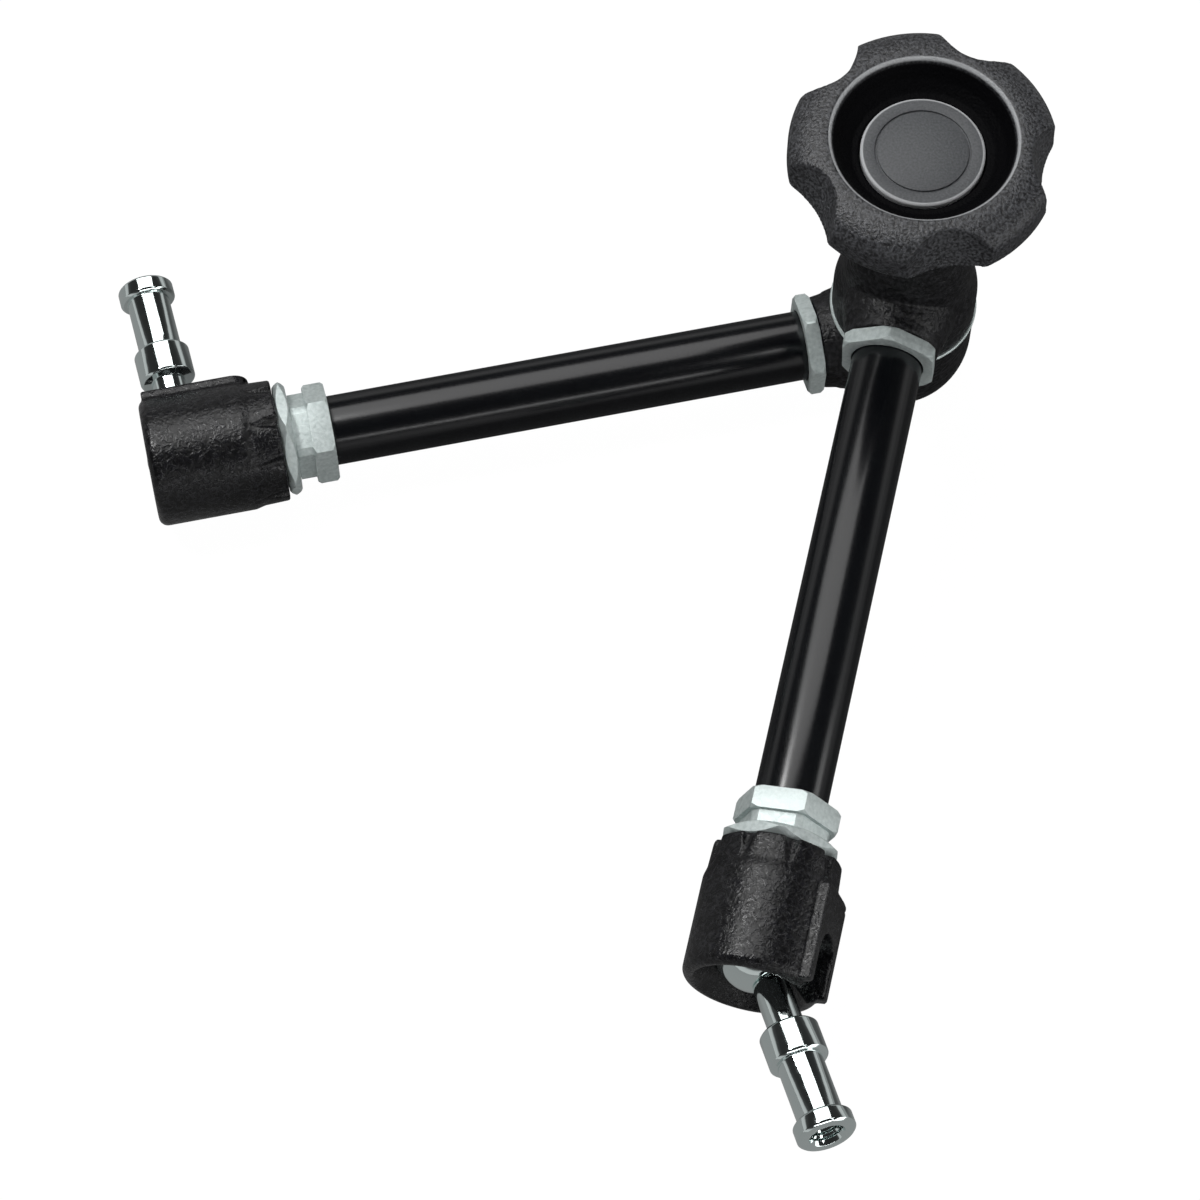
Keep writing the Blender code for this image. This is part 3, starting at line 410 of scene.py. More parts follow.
def make_housing(back, front):
    """The ball housing on the bench: ball at the origin, mouth up, slot towards +X."""
    shoulder = back + SHOULDER_LENGTH
    outline = [
        (back, HOUSING_NUT_END_RADIUS - HOUSING_NUT_END_CHAMFER),
        (back + HOUSING_NUT_END_CHAMFER, HOUSING_NUT_END_RADIUS),
        (shoulder - RIM_ROUND / 2, HOUSING_RADIUS - RIM_ROUND / 4),
        (shoulder + RIM_ROUND / 2, HOUSING_RADIUS),
    ]
    points = 9
    for n in range(points):
        turn = radians(90) * n / (points - 1)
        outline.append((front - RIM_ROUND * (1 - sin(turn)), HOUSING_RADIUS - RIM_ROUND * (1 - cos(turn))))
    housing = turned("housing_skin", outline, FINE)
    boss_end = front - RIM_ROUND / 2
    boss_start = boss_end - BOSS_LENGTH
    boss = block(
        "boss", (BALL_RADIUS / 2, -BOSS_WIDTH / 2, boss_start), (BOSS_HEIGHT, BOSS_WIDTH / 2, boss_end)
    )
    soften_boss(boss, boss_start)
    boolean(housing, boss, "UNION")
    for n in range(FLUTES):
        boolean(housing, flute(back, 2 * pi * (n + 0.5) / FLUTES), "DIFFERENCE")
    bore = BALL_RADIUS + GAP
    cavity = [(back - OVERCUT, bore), (0.0, bore)]
    points = 6
    limit = asin(THROAT_OFFSET / bore)
    for n in range(1, points):
        turn = limit * n / (points - 1)
        cavity.append((bore * sin(turn), bore * cos(turn)))
    throat = cavity[-1][1]
    slope = (MOUTH_RADIUS - throat) / (front - THROAT_OFFSET)
    cavity.append((front + OVERCUT, MOUTH_RADIUS + slope * OVERCUT))
    boolean(housing, turned("cavity", cavity, FINE), "DIFFERENCE")
    boolean(housing, slot_cutter(front), "DIFFERENCE")
    cast(housing, HOUSING_VOXEL, HOUSING_SMOOTHING)
    return housing


def soften_boss(boss, nut_end):
    """Round the boss's two corners at the nut's end, then the edges round its top."""
    for step in ("corners", "top"):
        select_only(boss)
        bpy.ops.object.mode_set(mode="EDIT")
        bpy.ops.mesh.select_all(action="DESELECT")
        bpy.ops.object.mode_set(mode="OBJECT")
        for edge in boss.data.edges:
            ends = [boss.data.vertices[v].co for v in edge.vertices]
            if step == "corners":
                low = all(abs(e.z - nut_end) < MERGE for e in ends)
                edge.select = low and abs(ends[0].y - ends[1].y) < MERGE
            else:
                edge.select = all(e.x > BOSS_HEIGHT - MERGE for e in ends)
        bpy.ops.object.mode_set(mode="EDIT")
        bpy.ops.mesh.select_mode(type="EDGE")
        width = BOSS_CORNER if step == "corners" else BOSS_EDGE
        bpy.ops.mesh.bevel(offset=width, segments=8 if step == "corners" else 3, affect="EDGES")
        bpy.ops.object.mode_set(mode="OBJECT")


def flute(back, azimuth):
    """One wedge groove: a cone that runs out on the housing's side."""
    start = Vector((HOUSING_NUT_END_RADIUS + FLUTE_RISE, 0, back - OVERCUT))
    point = Vector((HOUSING_RADIUS + FLUTE_RISE / 2, 0, start.z + FLUTE_LENGTH))
    run = point - start
    turn = Matrix.Rotation(azimuth, 4, "Z")
    lean = Matrix.Rotation(atan2(run.x, run.z), 4, "Y")
    bpy.ops.object.select_all(action="DESELECT")
    bpy.ops.mesh.primitive_cone_add(vertices=24, radius1=FLUTE_RADIUS, radius2=0, depth=run.length)
    cone = bpy.context.object
    lay(cone, turn @ Matrix.Translation((start + point) / 2) @ lean)
    return cone


def slot_cutter(front):
    """The slot's cutter, round at its inner end."""
    half = SLOT_WIDTH / 2
    reach = BOSS_HEIGHT + 2 * OVERCUT
    cutter = block("slot", (0, -half, 0), (reach, half, front + OVERCUT))
    bpy.ops.object.select_all(action="DESELECT")
    bpy.ops.mesh.primitive_cylinder_add(
        vertices=COARSE, radius=half, depth=reach, location=(reach / 2, 0, 0), rotation=(0, pi / 2, 0)
    )
    end = bpy.context.object
    bpy.ops.object.transform_apply(location=True, rotation=True, scale=True)
    boolean(cutter, end, "UNION")
    return cutter


def make_tube(start, end):
    """A tube with softened ends."""
    inner = TUBE_RADIUS - TUBE_WALL
    outline = [(start, inner), (start, TUBE_RADIUS), (end, TUBE_RADIUS), (end, inner), (start, inner)]
    tube = turned("tube_skin", outline, FINE)
    soften(tube, TUBE_CHAMFER, 3, 40)
    return tube


def make_ring_nut(start, end, roll):
    """The thin hex nut at the elbow."""
    edge = RING_NUT_BLANK_RADIUS - RING_NUT_CHAMFER_DROP
    outline = [
        (start, TUBE_BORE),
        (start, edge),
        (start + RING_NUT_CHAMFER, RING_NUT_BLANK_RADIUS),
        (end - RING_NUT_CHAMFER, RING_NUT_BLANK_RADIUS),
        (end, edge),
        (end, TUBE_BORE),
        (start, TUBE_BORE),
    ]
    nut = turned("ring_nut_skin", outline, FINE)
    flats = flats_tool(start - OVERCUT, end + OVERCUT, RING_NUT_ACROSS_FLATS, roll)
    boolean(nut, flats, "DIFFERENCE")
    soften(nut, NUT_EDGE, 3, 20)
    return nut


def make_fitting(start, collar, collar_end, end, roll):
    """The hex end fitting with its narrower collar and the shank inside the housing."""
    pocket = start + FITTING_POCKET_DEPTH
    outline = [
        (start, TUBE_BORE),
        (start, FITTING_BLANK_RADIUS - FITTING_CHAMFER),
        (start + FITTING_CHAMFER, FITTING_BLANK_RADIUS),
        (collar - FITTING_CHAMFER, FITTING_BLANK_RADIUS),
        (collar, FITTING_BLANK_RADIUS - FITTING_CHAMFER),
        (collar, COLLAR_RADIUS),
        (collar_end, COLLAR_RADIUS),
        (collar_end, SHANK_RADIUS),
        (end, SHANK_RADIUS),
        (end, ROD_BORE),
        (pocket, ROD_BORE),
        (pocket, TUBE_BORE),
        (start, TUBE_BORE),
    ]
    fitting = turned("end_fitting_skin", outline, FINE)
    boolean(fitting, flats_tool(start - OVERCUT, collar, FITTING_ACROSS_FLATS, roll), "DIFFERENCE")
    boolean(fitting, flats_tool(collar, collar_end, COLLAR_ACROSS_FLATS, roll), "DIFFERENCE")
    soften(fitting, NUT_EDGE, 3, 20)
    return fitting


def make_jam_nut(start, end, roll):
    """The thin nut whose deep chamfers leave lens-shaped flats."""
    middle = (start + end) / 2
    bore = SHANK_RADIUS + GAP
    outline = [
        (start, bore),
        (start, JAM_NUT_FACE_RADIUS),
        (middle, JAM_NUT_BLANK_RADIUS),
        (end, JAM_NUT_FACE_RADIUS),
        (end, bore),
        (start, bore),
    ]
    nut = turned("jam_nut_skin", outline, FINE)
    flats = flats_tool(start - OVERCUT, end + OVERCUT, JAM_NUT_ACROSS_FLATS, roll)
    boolean(nut, flats, "DIFFERENCE")
    soften(nut, JAM_NUT_EDGE, 3, 18)
    return nut


def make_ball():
    """The ball, flat where the stud leaves it."""
    limit = asin(NECK_OF_STUD_RADIUS / BALL_RADIUS)
    points = 40
    outline = []
    for n in range(points):
        turn = radians(BALL_FAR_END) + (limit - radians(BALL_FAR_END)) * n / (points - 1)
        outline.append((BALL_RADIUS * cos(turn), BALL_RADIUS * sin(turn)))
    return turned("ball_skin", outline, FINE)


def make_stud():
    """The stud, from its shoulder on the ball to the threaded hole in its flange."""
    shoulder = sqrt(BALL_RADIUS ** 2 - NECK_OF_STUD_RADIUS ** 2) + GAP
    depth = STUD_END - STUD_HOLE_FLARE_DEPTH
    outline = [
        (shoulder, NECK_OF_STUD_RADIUS),
        (STUD_COLLAR_START, NECK_OF_STUD_RADIUS),
        (STUD_COLLAR_START, STUD_RADIUS - STUD_CHAMFER),
        (STUD_COLLAR_START + STUD_CHAMFER, STUD_RADIUS),
        (STUD_COLLAR_END - STUD_CHAMFER, STUD_RADIUS),
        (STUD_COLLAR_END, STUD_RADIUS - STUD_CHAMFER),
        (STUD_COLLAR_END, STUD_WAIST_RADIUS),
        (STUD_FLANGE_START, STUD_WAIST_RADIUS),
        (STUD_FLANGE_START, STUD_RADIUS - STUD_CHAMFER),
        (STUD_FLANGE_START + STUD_CHAMFER, STUD_RADIUS),
        (STUD_END - STUD_CHAMFER, STUD_RADIUS),
        (STUD_END, STUD_RADIUS - STUD_CHAMFER),
        (STUD_END, STUD_THREAD_ROOT + STUD_HOLE_FLARE),
        (depth, STUD_THREAD_ROOT),
    ]
    for _ in range(STUD_THREAD_TURNS):
        outline.append((depth - STUD_THREAD_PITCH / 2, STUD_THREAD_CREST))
        outline.append((depth - STUD_THREAD_PITCH, STUD_THREAD_ROOT))
        depth = depth - STUD_THREAD_PITCH
    outline.append((depth, STUD_THREAD_CREST))
    stud = turned("stud_skin", outline, FINE)
    soften(stud, STUD_EDGE, 3, 25)
    return stud


def make_knob():
    """The knob body on the bench, standing on its boss."""
    crest = KNOB_RIM_RADIUS + KNOB_RIM_LAND
    outline = [
        (0.0, KNOB_HOLE_RADIUS),
        (0.0, KNOB_BOSS_RADIUS),
        (KNOB_UNDERSIDE, KNOB_BOSS_RADIUS),
        (KNOB_UNDERSIDE, KNOB_RADIUS - KNOB_CORNER),
        (KNOB_UNDERSIDE + KNOB_CORNER, KNOB_RADIUS),
    ]
    points = 14
    for n in range(points):
        turn = radians(90) * n / (points - 1)
        height = KNOB_WALL_TOP + (KNOB_TOP - KNOB_WALL_TOP) * sin(turn)
        outline.append((height, crest + (KNOB_RADIUS - crest) * cos(turn)))
    outline.append((KNOB_TOP - KNOB_RIM_LAND, KNOB_RIM_RADIUS))
    outline.append((DISH_WALL_FOOT, KNOB_RIM_RADIUS - DISH_WALL_RUN))
    outline.append((DISH_FLOOR, KNOB_RIM_RADIUS - 2 * DISH_WALL_RUN))
    outline.append((DISH_FLOOR, CAP_RECESS_RADIUS))
    outline.append((DISH_FLOOR - CAP_RECESS_DEPTH, CAP_RECESS_RADIUS))
    outline.append((DISH_FLOOR - CAP_RECESS_DEPTH, KNOB_HOLE_RADIUS))
    outline.append(outline[0])
    body = turned("knob_skin", outline, VERY_FINE)
    pocket_low = KNOB_UNDERSIDE - OVERCUT
    pocket_high = KNOB_UNDERSIDE + KNOB_POCKET_DEPTH
    ring = [
        (pocket_low, KNOB_POCKET_INNER_RADIUS),
        (pocket_low, KNOB_RADIUS - KNOB_WALL),
        (pocket_high, KNOB_RADIUS - KNOB_WALL),
        (pocket_high, KNOB_POCKET_INNER_RADIUS),
        (pocket_low, KNOB_POCKET_INNER_RADIUS),
    ]
    pocket = turned("pocket", ring, FINE)
    for n in range(SCALLOPS):
        azimuth = radians(FIRST_SCALLOP_AZIMUTH) + 2 * pi * n / SCALLOPS
        boolean(body, scallop(azimuth, 0.0), "DIFFERENCE")
        boolean(pocket, scallop(azimuth, KNOB_WALL), "DIFFERENCE")
        rib = block("rib", (0, -KNOB_RIB / 2, 0), (KNOB_RADIUS, KNOB_RIB / 2, pocket_high * 2))
        lay(rib, Matrix.Rotation(azimuth, 4, "Z"))
        boolean(pocket, rib, "DIFFERENCE")
    boolean(body, pocket, "DIFFERENCE")
    cast(body, KNOB_VOXEL, KNOB_SMOOTHING)
    return body


def scallop(azimuth, extra):
    """One leaning cone, narrow and deep at the knob's top, wide and shallow at its underside."""
    share = OVERCUT / (KNOB_TOP - KNOB_UNDERSIDE)
    growth = (SCALLOP_TOP_RADIUS - SCALLOP_BOTTOM_RADIUS) * share
    lean = (SCALLOP_TOP_REACH - SCALLOP_BOTTOM_REACH) * share
    low_radius = SCALLOP_BOTTOM_RADIUS - growth
    high_radius = SCALLOP_TOP_RADIUS + growth
    low = (SCALLOP_BOTTOM_REACH - lean + low_radius, 0, KNOB_UNDERSIDE - OVERCUT)
    high = (SCALLOP_TOP_REACH + lean + high_radius, 0, KNOB_TOP + OVERCUT)
    bpy.ops.object.select_all(action="DESELECT")
    bpy.ops.mesh.primitive_circle_add(
        vertices=VERY_FINE, radius=low_radius + extra, fill_type="NGON", location=low
    )
    cutter = bpy.context.object
    bpy.ops.object.transform_apply(location=True, rotation=False, scale=False)
    bpy.ops.object.mode_set(mode="EDIT")
    bpy.ops.mesh.select_all(action="SELECT")
    step = {"value": (high[0] - low[0], 0, high[2] - low[2])}
    bpy.ops.mesh.extrude_region_move(TRANSFORM_OT_translate=step)
    growth = (high_radius + extra) / (low_radius + extra)
    bpy.ops.transform.resize(value=(growth, growth, 1), center_override=high)
    bpy.ops.mesh.select_all(action="SELECT")
    bpy.ops.mesh.normals_make_consistent(inside=False)
    bpy.ops.object.mode_set(mode="OBJECT")
    lay(cutter, Matrix.Rotation(azimuth, 4, "Z"))
    return cutter


def make_cap(bottom, top):
    """The disc in the knob's dish, with its turned groove."""
    half = CAP_GROOVE_SIZE / 2
    outline = [
        (bottom, CAP_RADIUS),
        (top - CAP_CHAMFER, CAP_RADIUS),
        (top, CAP_RADIUS - CAP_CHAMFER),
        (top, CAP_GROOVE_RADIUS + half),
        (top - CAP_GROOVE_SIZE, CAP_GROOVE_RADIUS + half),
        (top - CAP_GROOVE_SIZE, CAP_GROOVE_RADIUS - half),
        (top, CAP_GROOVE_RADIUS - half),
    ]
    cap = turned("knob_cap_skin", outline, VERY_FINE)
    soften(cap, CAP_EDGE, 2, 30)
    return cap


def flat_ring(name, low, high, inner, outer, edge, segments):
    """A washer with rounded edges, or chamfered ones where they have one segment."""
    outline = [(low, inner), (low, outer), (high, outer), (high, inner), (low, inner)]
    ring = turned(name, outline, FINE)
    soften(ring, edge, segments, 40)
    return ring


def shader_material(name, colour, metallic, roughness, specular=0.5):
    """A Principled material, its tree and its shader."""
    material = bpy.data.materials.new(name)
    material.use_nodes = True
    tree = material.node_tree
    shader = tree.nodes["Principled BSDF"]
    shader.inputs["Base Color"].default_value = (*colour, 1)
    shader.inputs["Metallic"].default_value = metallic
    shader.inputs["Roughness"].default_value = roughness
    shader.inputs["Specular IOR Level"].default_value = specular
    return material, tree, shader


def noise_on(tree, scale, detail, stretch=(1, 1, 1)):
    """Noise on object coordinates, in bumps to the metre."""
    place = tree.nodes.new("ShaderNodeTexCoord")
    mapping = tree.nodes.new("ShaderNodeMapping")
    mapping.inputs["Scale"].default_value = stretch
    noise = tree.nodes.new("ShaderNodeTexNoise")
    noise.inputs["Scale"].default_value = scale
    noise.inputs["Detail"].default_value = detail
    tree.links.new(place.outputs["Object"], mapping.inputs["Vector"])
    tree.links.new(mapping.outputs["Vector"], noise.inputs["Vector"])
    return noise


def ranged(tree, source, low, high, from_low=0.3, from_high=0.7):
    """Map a texture's value to a range."""
    span = tree.nodes.new("ShaderNodeMapRange")
    span.inputs["From Min"].default_value = from_low
    span.inputs["From Max"].default_value = from_high
    span.inputs["To Min"].default_value = low
    span.inputs["To Max"].default_value = high
    tree.links.new(source, span.inputs["Value"])
    return span.outputs["Result"]


def colour_between(tree, source, dark, light):
    """Two colours mixed by a texture."""
    mix = tree.nodes.new("ShaderNodeMix")
    mix.data_type = "RGBA"
    mix.inputs["A"].default_value = (*dark, 1)
    mix.inputs["B"].default_value = (*light, 1)
    tree.links.new(source, mix.inputs["Factor"])
    return mix.outputs["Result"]


def colour_over(tree, mask, below, colour):
    """One colour laid over another where a mask is one."""
    mix = tree.nodes.new("ShaderNodeMix")
    mix.data_type = "RGBA"
    mix.inputs["B"].default_value = (*colour, 1)
    tree.links.new(mask, mix.inputs["Factor"])
    tree.links.new(below, mix.inputs["A"])
    return mix.outputs["Result"]


def bump_on(tree, shader, source, distance, strength):
    """Bump from a texture's value, a distance in metres deep."""
    bump = tree.nodes.new("ShaderNodeBump")
    bump.inputs["Distance"].default_value = distance
    bump.inputs["Strength"].default_value = strength
    tree.links.new(source, bump.inputs["Height"])
    tree.links.new(bump.outputs["Normal"], shader.inputs["Normal"])
    return bump


def from_axis(tree):
    """The distance from the elbow's axis, on object coordinates."""
    place = tree.nodes.new("ShaderNodeTexCoord")
    level = tree.nodes.new("ShaderNodeVectorMath")
    level.operation = "MULTIPLY"
    level.inputs[1].default_value = (1, 1, 0)
    far = tree.nodes.new("ShaderNodeVectorMath")
    far.operation = "LENGTH"
    tree.links.new(place.outputs["Object"], level.inputs[0])
    tree.links.new(level.outputs["Vector"], far.inputs[0])
    return far.outputs["Value"]


def ring_mask(tree, far, radius, width):
    """One near a distance from the elbow's axis and nothing elsewhere."""
    away = tree.nodes.new("ShaderNodeMath")
    away.operation = "SUBTRACT"
    away.inputs[1].default_value = radius
    size = tree.nodes.new("ShaderNodeMath")
    size.operation = "ABSOLUTE"
    tree.links.new(far, away.inputs[0])
    tree.links.new(away.outputs[0], size.inputs[0])
    return ranged(tree, size.outputs[0], 1.0, 0.0, width * 0.4, width)


def gloss_black():
    """The tubes' glossy black coat, with faint waves and dust."""
    material, tree, shader = shader_material("gloss_black_coat", (0.003, 0.003, 0.004), 0.0, 0.18, 0.48)
    waves = noise_on(tree, 160, 3)
    specks = noise_on(tree, 2400, 2)
    tree.links.new(ranged(tree, specks.outputs["Fac"], 0.15, 0.27), shader.inputs["Roughness"])
    tree.links.new(
        colour_between(tree, waves.outputs["Fac"], (0.002, 0.002, 0.003), (0.004, 0.005, 0.006)),
        shader.inputs["Base Color"],
    )
    bump_on(tree, shader, waves.outputs["Fac"], 0.00004, 0.25)
    return material


def satin_black():
    """The castings' satin black paint over a sand-cast skin."""
    material, tree, shader = shader_material("satin_black_paint", (0.006, 0.006, 0.007), 0.0, 0.38, 0.38)
    grain = noise_on(tree, 720, 4)
    patches = noise_on(tree, 220, 3)
    crests = ranged(tree, grain.outputs["Fac"], 0.0, 1.0, 0.42, 0.64)
    tree.links.new(ranged(tree, patches.outputs["Fac"], 0.32, 0.48), shader.inputs["Roughness"])
    tree.links.new(
        colour_between(tree, crests, (0.0005, 0.0005, 0.001), (0.014, 0.014, 0.016)),
        shader.inputs["Base Color"],
    )
    bump_on(tree, shader, grain.outputs["Fac"], 0.00060, 0.9)
    return material


def wrinkle_black():
    """The housings' wrinkled black coat, darker in its troughs as painted shade and lighter on its crests
    as painted light.
    """
    material, tree, shader = shader_material("wrinkle_black_coat", (0.004, 0.004, 0.005), 0.0, 0.26, 0.40)
    wrinkles = noise_on(tree, 620, 3)
    wrinkles.inputs["Distortion"].default_value = 1.2
    # Colour follows the wrinkles' height: painted shade in the troughs, painted light on the crests
    crests = ranged(tree, wrinkles.outputs["Fac"], 0.0, 1.0, 0.44, 0.62)
    tree.links.new(ranged(tree, wrinkles.outputs["Fac"], 0.38, 0.17), shader.inputs["Roughness"])
    tree.links.new(
        colour_between(tree, crests, (0.0005, 0.0005, 0.001), (0.011, 0.011, 0.013)),
        shader.inputs["Base Color"],
    )
    bump_on(tree, shader, wrinkles.outputs["Fac"], 0.00038, 0.8)
    return material


def knob_plastic():
    """The knob's grained dark plastic, with painted shade that blackens its dish and a painted highlight
    line on the dish's rim.
    """
    material, tree, shader = shader_material("knob_plastic", (0.014, 0.014, 0.016), 0.0, 0.38, 0.50)
    grain = noise_on(tree, 1300, 3)
    far = from_axis(tree)
    # Painted shade: near-black colour and little reflection in the dish, out to just inside its rim
    dish = ranged(tree, far, 1.0, 0.0, DISH_SHADE_INSIDE, DISH_SHADE_END)
    # Painted highlight: a pale line round the dish's rim
    rim = ring_mask(tree, far, RIM_HIGHLIGHT_RADIUS, RIM_HIGHLIGHT_WIDTH)
    crests = ranged(tree, grain.outputs["Fac"], 0.0, 1.0, 0.38, 0.64)
    body = colour_between(tree, crests, (0.002, 0.002, 0.003), (0.060, 0.062, 0.068))
    dark = colour_over(tree, dish, body, (0.0015, 0.0015, 0.002))
    tree.links.new(colour_over(tree, rim, dark, (0.40, 0.41, 0.42)), shader.inputs["Base Color"])
    tree.links.new(ranged(tree, dish, 0.36, 0.60, 0.0, 1.0), shader.inputs["Roughness"])
    tree.links.new(ranged(tree, dish, 0.50, 0.05, 0.0, 1.0), shader.inputs["Specular IOR Level"])
    bump_on(tree, shader, grain.outputs["Fac"], 0.00040, 0.9)
    return material


def cap_plastic():
    """The cap's lighter grey plastic, with a painted highlight line round its edge."""
    material, tree, shader = shader_material("cap_plastic", (0.06, 0.063, 0.067), 0.0, 0.42, 0.30)
    grain = noise_on(tree, 1600, 3)
    # Painted highlight: a pale line round the cap's edge, over its grained grey
    tree.links.new(
        colour_over(
            tree,
            ring_mask(tree, from_axis(tree), CAP_HIGHLIGHT_RADIUS, CAP_HIGHLIGHT_WIDTH),
            colour_between(tree, grain.outputs["Fac"], (0.028, 0.030, 0.033), (0.120, 0.125, 0.132)),
            (0.50, 0.51, 0.52),
        ),
        shader.inputs["Base Color"],
    )
    bump_on(tree, shader, grain.outputs["Fac"], 0.00015, 0.6)
    return material


def nickel():
    """Satin nickel plate with faint turning marks and spots."""
    material, tree, shader = shader_material("satin_nickel_plate", (0.70, 0.77, 0.76), 0.60, 0.46)
    spots = noise_on(tree, 900, 4)
    tree.links.new(ranged(tree, spots.outputs["Fac"], 0.44, 0.60), shader.inputs["Roughness"])
    tree.links.new(
        colour_between(tree, spots.outputs["Fac"], (0.36, 0.43, 0.42), (0.80, 0.86, 0.85)),
        shader.inputs["Base Color"],
    )
    bump_on(tree, shader, spots.outputs["Fac"], 0.00014, 0.6)
    return material


def chrome():
    """Polished chrome plate."""
    material, tree, shader = shader_material("polished_chrome_plate", (0.74, 0.82, 0.81), 1.0, 0.06)
    haze = noise_on(tree, 500, 3)
    tree.links.new(ranged(tree, haze.outputs["Fac"], 0.035, 0.10), shader.inputs["Roughness"])
    ripple = noise_on(tree, 240, 2)
    bump_on(tree, shader, ripple.outputs["Fac"], 0.00010, 0.4)
    return material


def plain_metal(name, dark, light, low, high):
    """Turned metal for the pieces inside."""
    material, tree, shader = shader_material(name, light, 1.0, low)
    marks = noise_on(tree, 900, 4)
    tree.links.new(ranged(tree, marks.outputs["Fac"], low, high), shader.inputs["Roughness"])
    tree.links.new(colour_between(tree, marks.outputs["Fac"], dark, light), shader.inputs["Base Color"])
    bump_on(tree, shader, marks.outputs["Fac"], 0.00002, 0.3)
    return material


def nylon():
    """Natural nylon."""
    material, tree, shader = shader_material("natural_nylon", (0.70, 0.69, 0.65), 0.0, 0.45)
    cloud = noise_on(tree, 300, 3)
    tree.links.new(
        colour_between(tree, cloud.outputs["Fac"], (0.62, 0.61, 0.56), (0.76, 0.75, 0.71)),
        shader.inputs["Base Color"],
    )
    return material


def joint(name):
    """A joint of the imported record, by name."""
    return next(j for j in frame["record"]["behaviour"]["joints"] if j["name"] == name)


def node_span(node, origin, along):
    """How far a node reaches along a direction, from the CAD mesh itself."""
    mesh = frame["nodes"][node].data
    reach = [(v.co - origin).dot(along) for v in mesh.vertices]
    return min(reach), max(reach)


def build_arm(side, finishes):
    """One arm's tube, nuts, fitting, housing, ball and stud."""
    swing = joint(side + "_swing")
    ball_at = Vector(swing["pos_m"])
    elbow_at = Vector((0, 0, ball_at.z))
    along = (ball_at - elbow_at).normalized()
    slot_way = Vector(swing["axis"]).cross(along)
    body = side + "_arm"
    arm_place = place_from(elbow_at, along, (0, 0, 1))

    start, end = node_span(side + "_tube", elbow_at, along)
    tube = make_tube(start, end)
    lay(tube, arm_place)
    tube.name = side + "_tube_skin"
    stand_for(tube, side + "_tube", body, finishes["tube"])

    start, end = node_span(side + "_ring_nut", elbow_at, along)
    nut = make_ring_nut(start, end, ROLLS[side][0])
    lay(nut, arm_place)
    nut.name = side + "_ring_nut_skin"
    stand_for(nut, side + "_ring_nut", body, finishes["nickel"])

    start, end = node_span(side + "_jam_nut", elbow_at, along)
    jam = make_jam_nut(start, end, ROLLS[side][2])
    lay(jam, arm_place, 20)
    jam.name = side + "_jam_nut_skin"
    stand_for(jam, side + "_jam_nut", body, finishes["nickel"])

    collar_end = start - GAP
    start, end = node_span(side + "_end_fitting", elbow_at, along)
    fitting = make_fitting(start, collar_end - COLLAR_LENGTH, collar_end, end, ROLLS[side][1])
    lay(fitting, arm_place, 20)
    fitting.name = side + "_end_fitting_skin"
    stand_for(fitting, side + "_end_fitting", body, finishes["nickel"])

    start, end = node_span(side + "_housing", ball_at, along)
    housing = make_housing(start, end)
    lay(housing, place_from(ball_at, along, slot_way))
    housing.name = side + "_housing_skin"
    stand_for(housing, side + "_housing", body, finishes["housing"])

    stud_way = Vector(joint(side + "_stud_spin")["axis"])
    stud_place = place_from(ball_at, stud_way, swing["axis"])
    ball = make_ball()
    lay(ball, stud_place)
    ball.name = side + "_ball_skin"
    stand_for(ball, side + "_ball", side + "_ball", finishes["chrome"])
    stud = make_stud()
    lay(stud, stud_place)
    stud.name = side + "_stud_skin"
    stand_for(stud, side + "_stud", side + "_stud", finishes["chrome"])
    return along


def build_elbow(base_along, load_along, finishes):
    """The two castings, the ring between them, the plug and the washer."""
    low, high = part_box("upper_casting")
    upper = make_upper_casting(Vector(joint("base_swing")["pos_m"]).z, base_along, low[2], high[2])
    stand_for(upper, "upper_casting", "base_arm", finishes["casting"])
    low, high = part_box("lower_casting")
    lower = make_lower_casting(Vector(joint("load_swing")["pos_m"]).z, load_along, low[2], high[2])
    stand_for(lower, "lower_casting", "load_arm", finishes["casting"])
    low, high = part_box("friction_ring")
    inner = FRICTION_RING_INNER_RADIUS
    outer = HUB_RADIUS + FRICTION_RING_LIP
    ring = flat_ring("friction_ring_skin", low[2], high[2], inner, outer, FRICTION_RING_CHAMFER, 1)
    lay(ring, Matrix.Identity(4))
    stand_for(ring, "friction_ring", "base_arm", finishes["nickel"])
    low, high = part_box("thrust_washer")
    washer = flat_ring(
        "thrust_washer_skin", low[2], high[2], THREAD_BORE, WASHER_RADIUS, WASHER_EDGE, 3
    )
    lay(washer, Matrix.Identity(4))
    stand_for(washer, "thrust_washer", "base_arm", finishes["steel"])
    low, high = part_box("base_plug")
    plug = turned("base_plug_skin", [(low[2], PLUG_RADIUS), (high[2], PLUG_RADIUS)], FINE)
    soften(plug, PLUG_EDGE, 3, 40)
    lay(plug, Matrix.Identity(4))
    stand_for(plug, "base_plug", "load_arm", finishes["casting"])


def build_knob(finishes):
    """The knob's body and cap."""
    stand = Matrix.Translation(joint("knob_turn")["pos_m"])
    body = make_knob()
    lay(body, stand, 60)
    stand_for(body, "knob_body", "knob", finishes["knob"])
    low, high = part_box("knob_cap")
    cap = make_cap(low[2], high[2])
    lay(cap, Matrix.Identity(4))
    stand_for(cap, "knob_cap", "knob", finishes["cap"])


def finish_inner(finishes):
    """Finishes of the pieces that keep their CAD shape."""
    worn = {
        "spindle": "steel",
        "disc_spring": "steel",
        "knob_insert": "brass",
        "base_push_rod": "steel",
        "load_push_rod": "steel",
        "base_thrust_ball": "steel",
        "load_thrust_ball": "steel",
        "base_seat_cup": "nylon",
        "load_seat_cup": "nylon",
    }
    for node, key in worn.items():
        slots = frame["nodes"][node].data.materials
        slots.clear()
        slots.append(finishes[key])


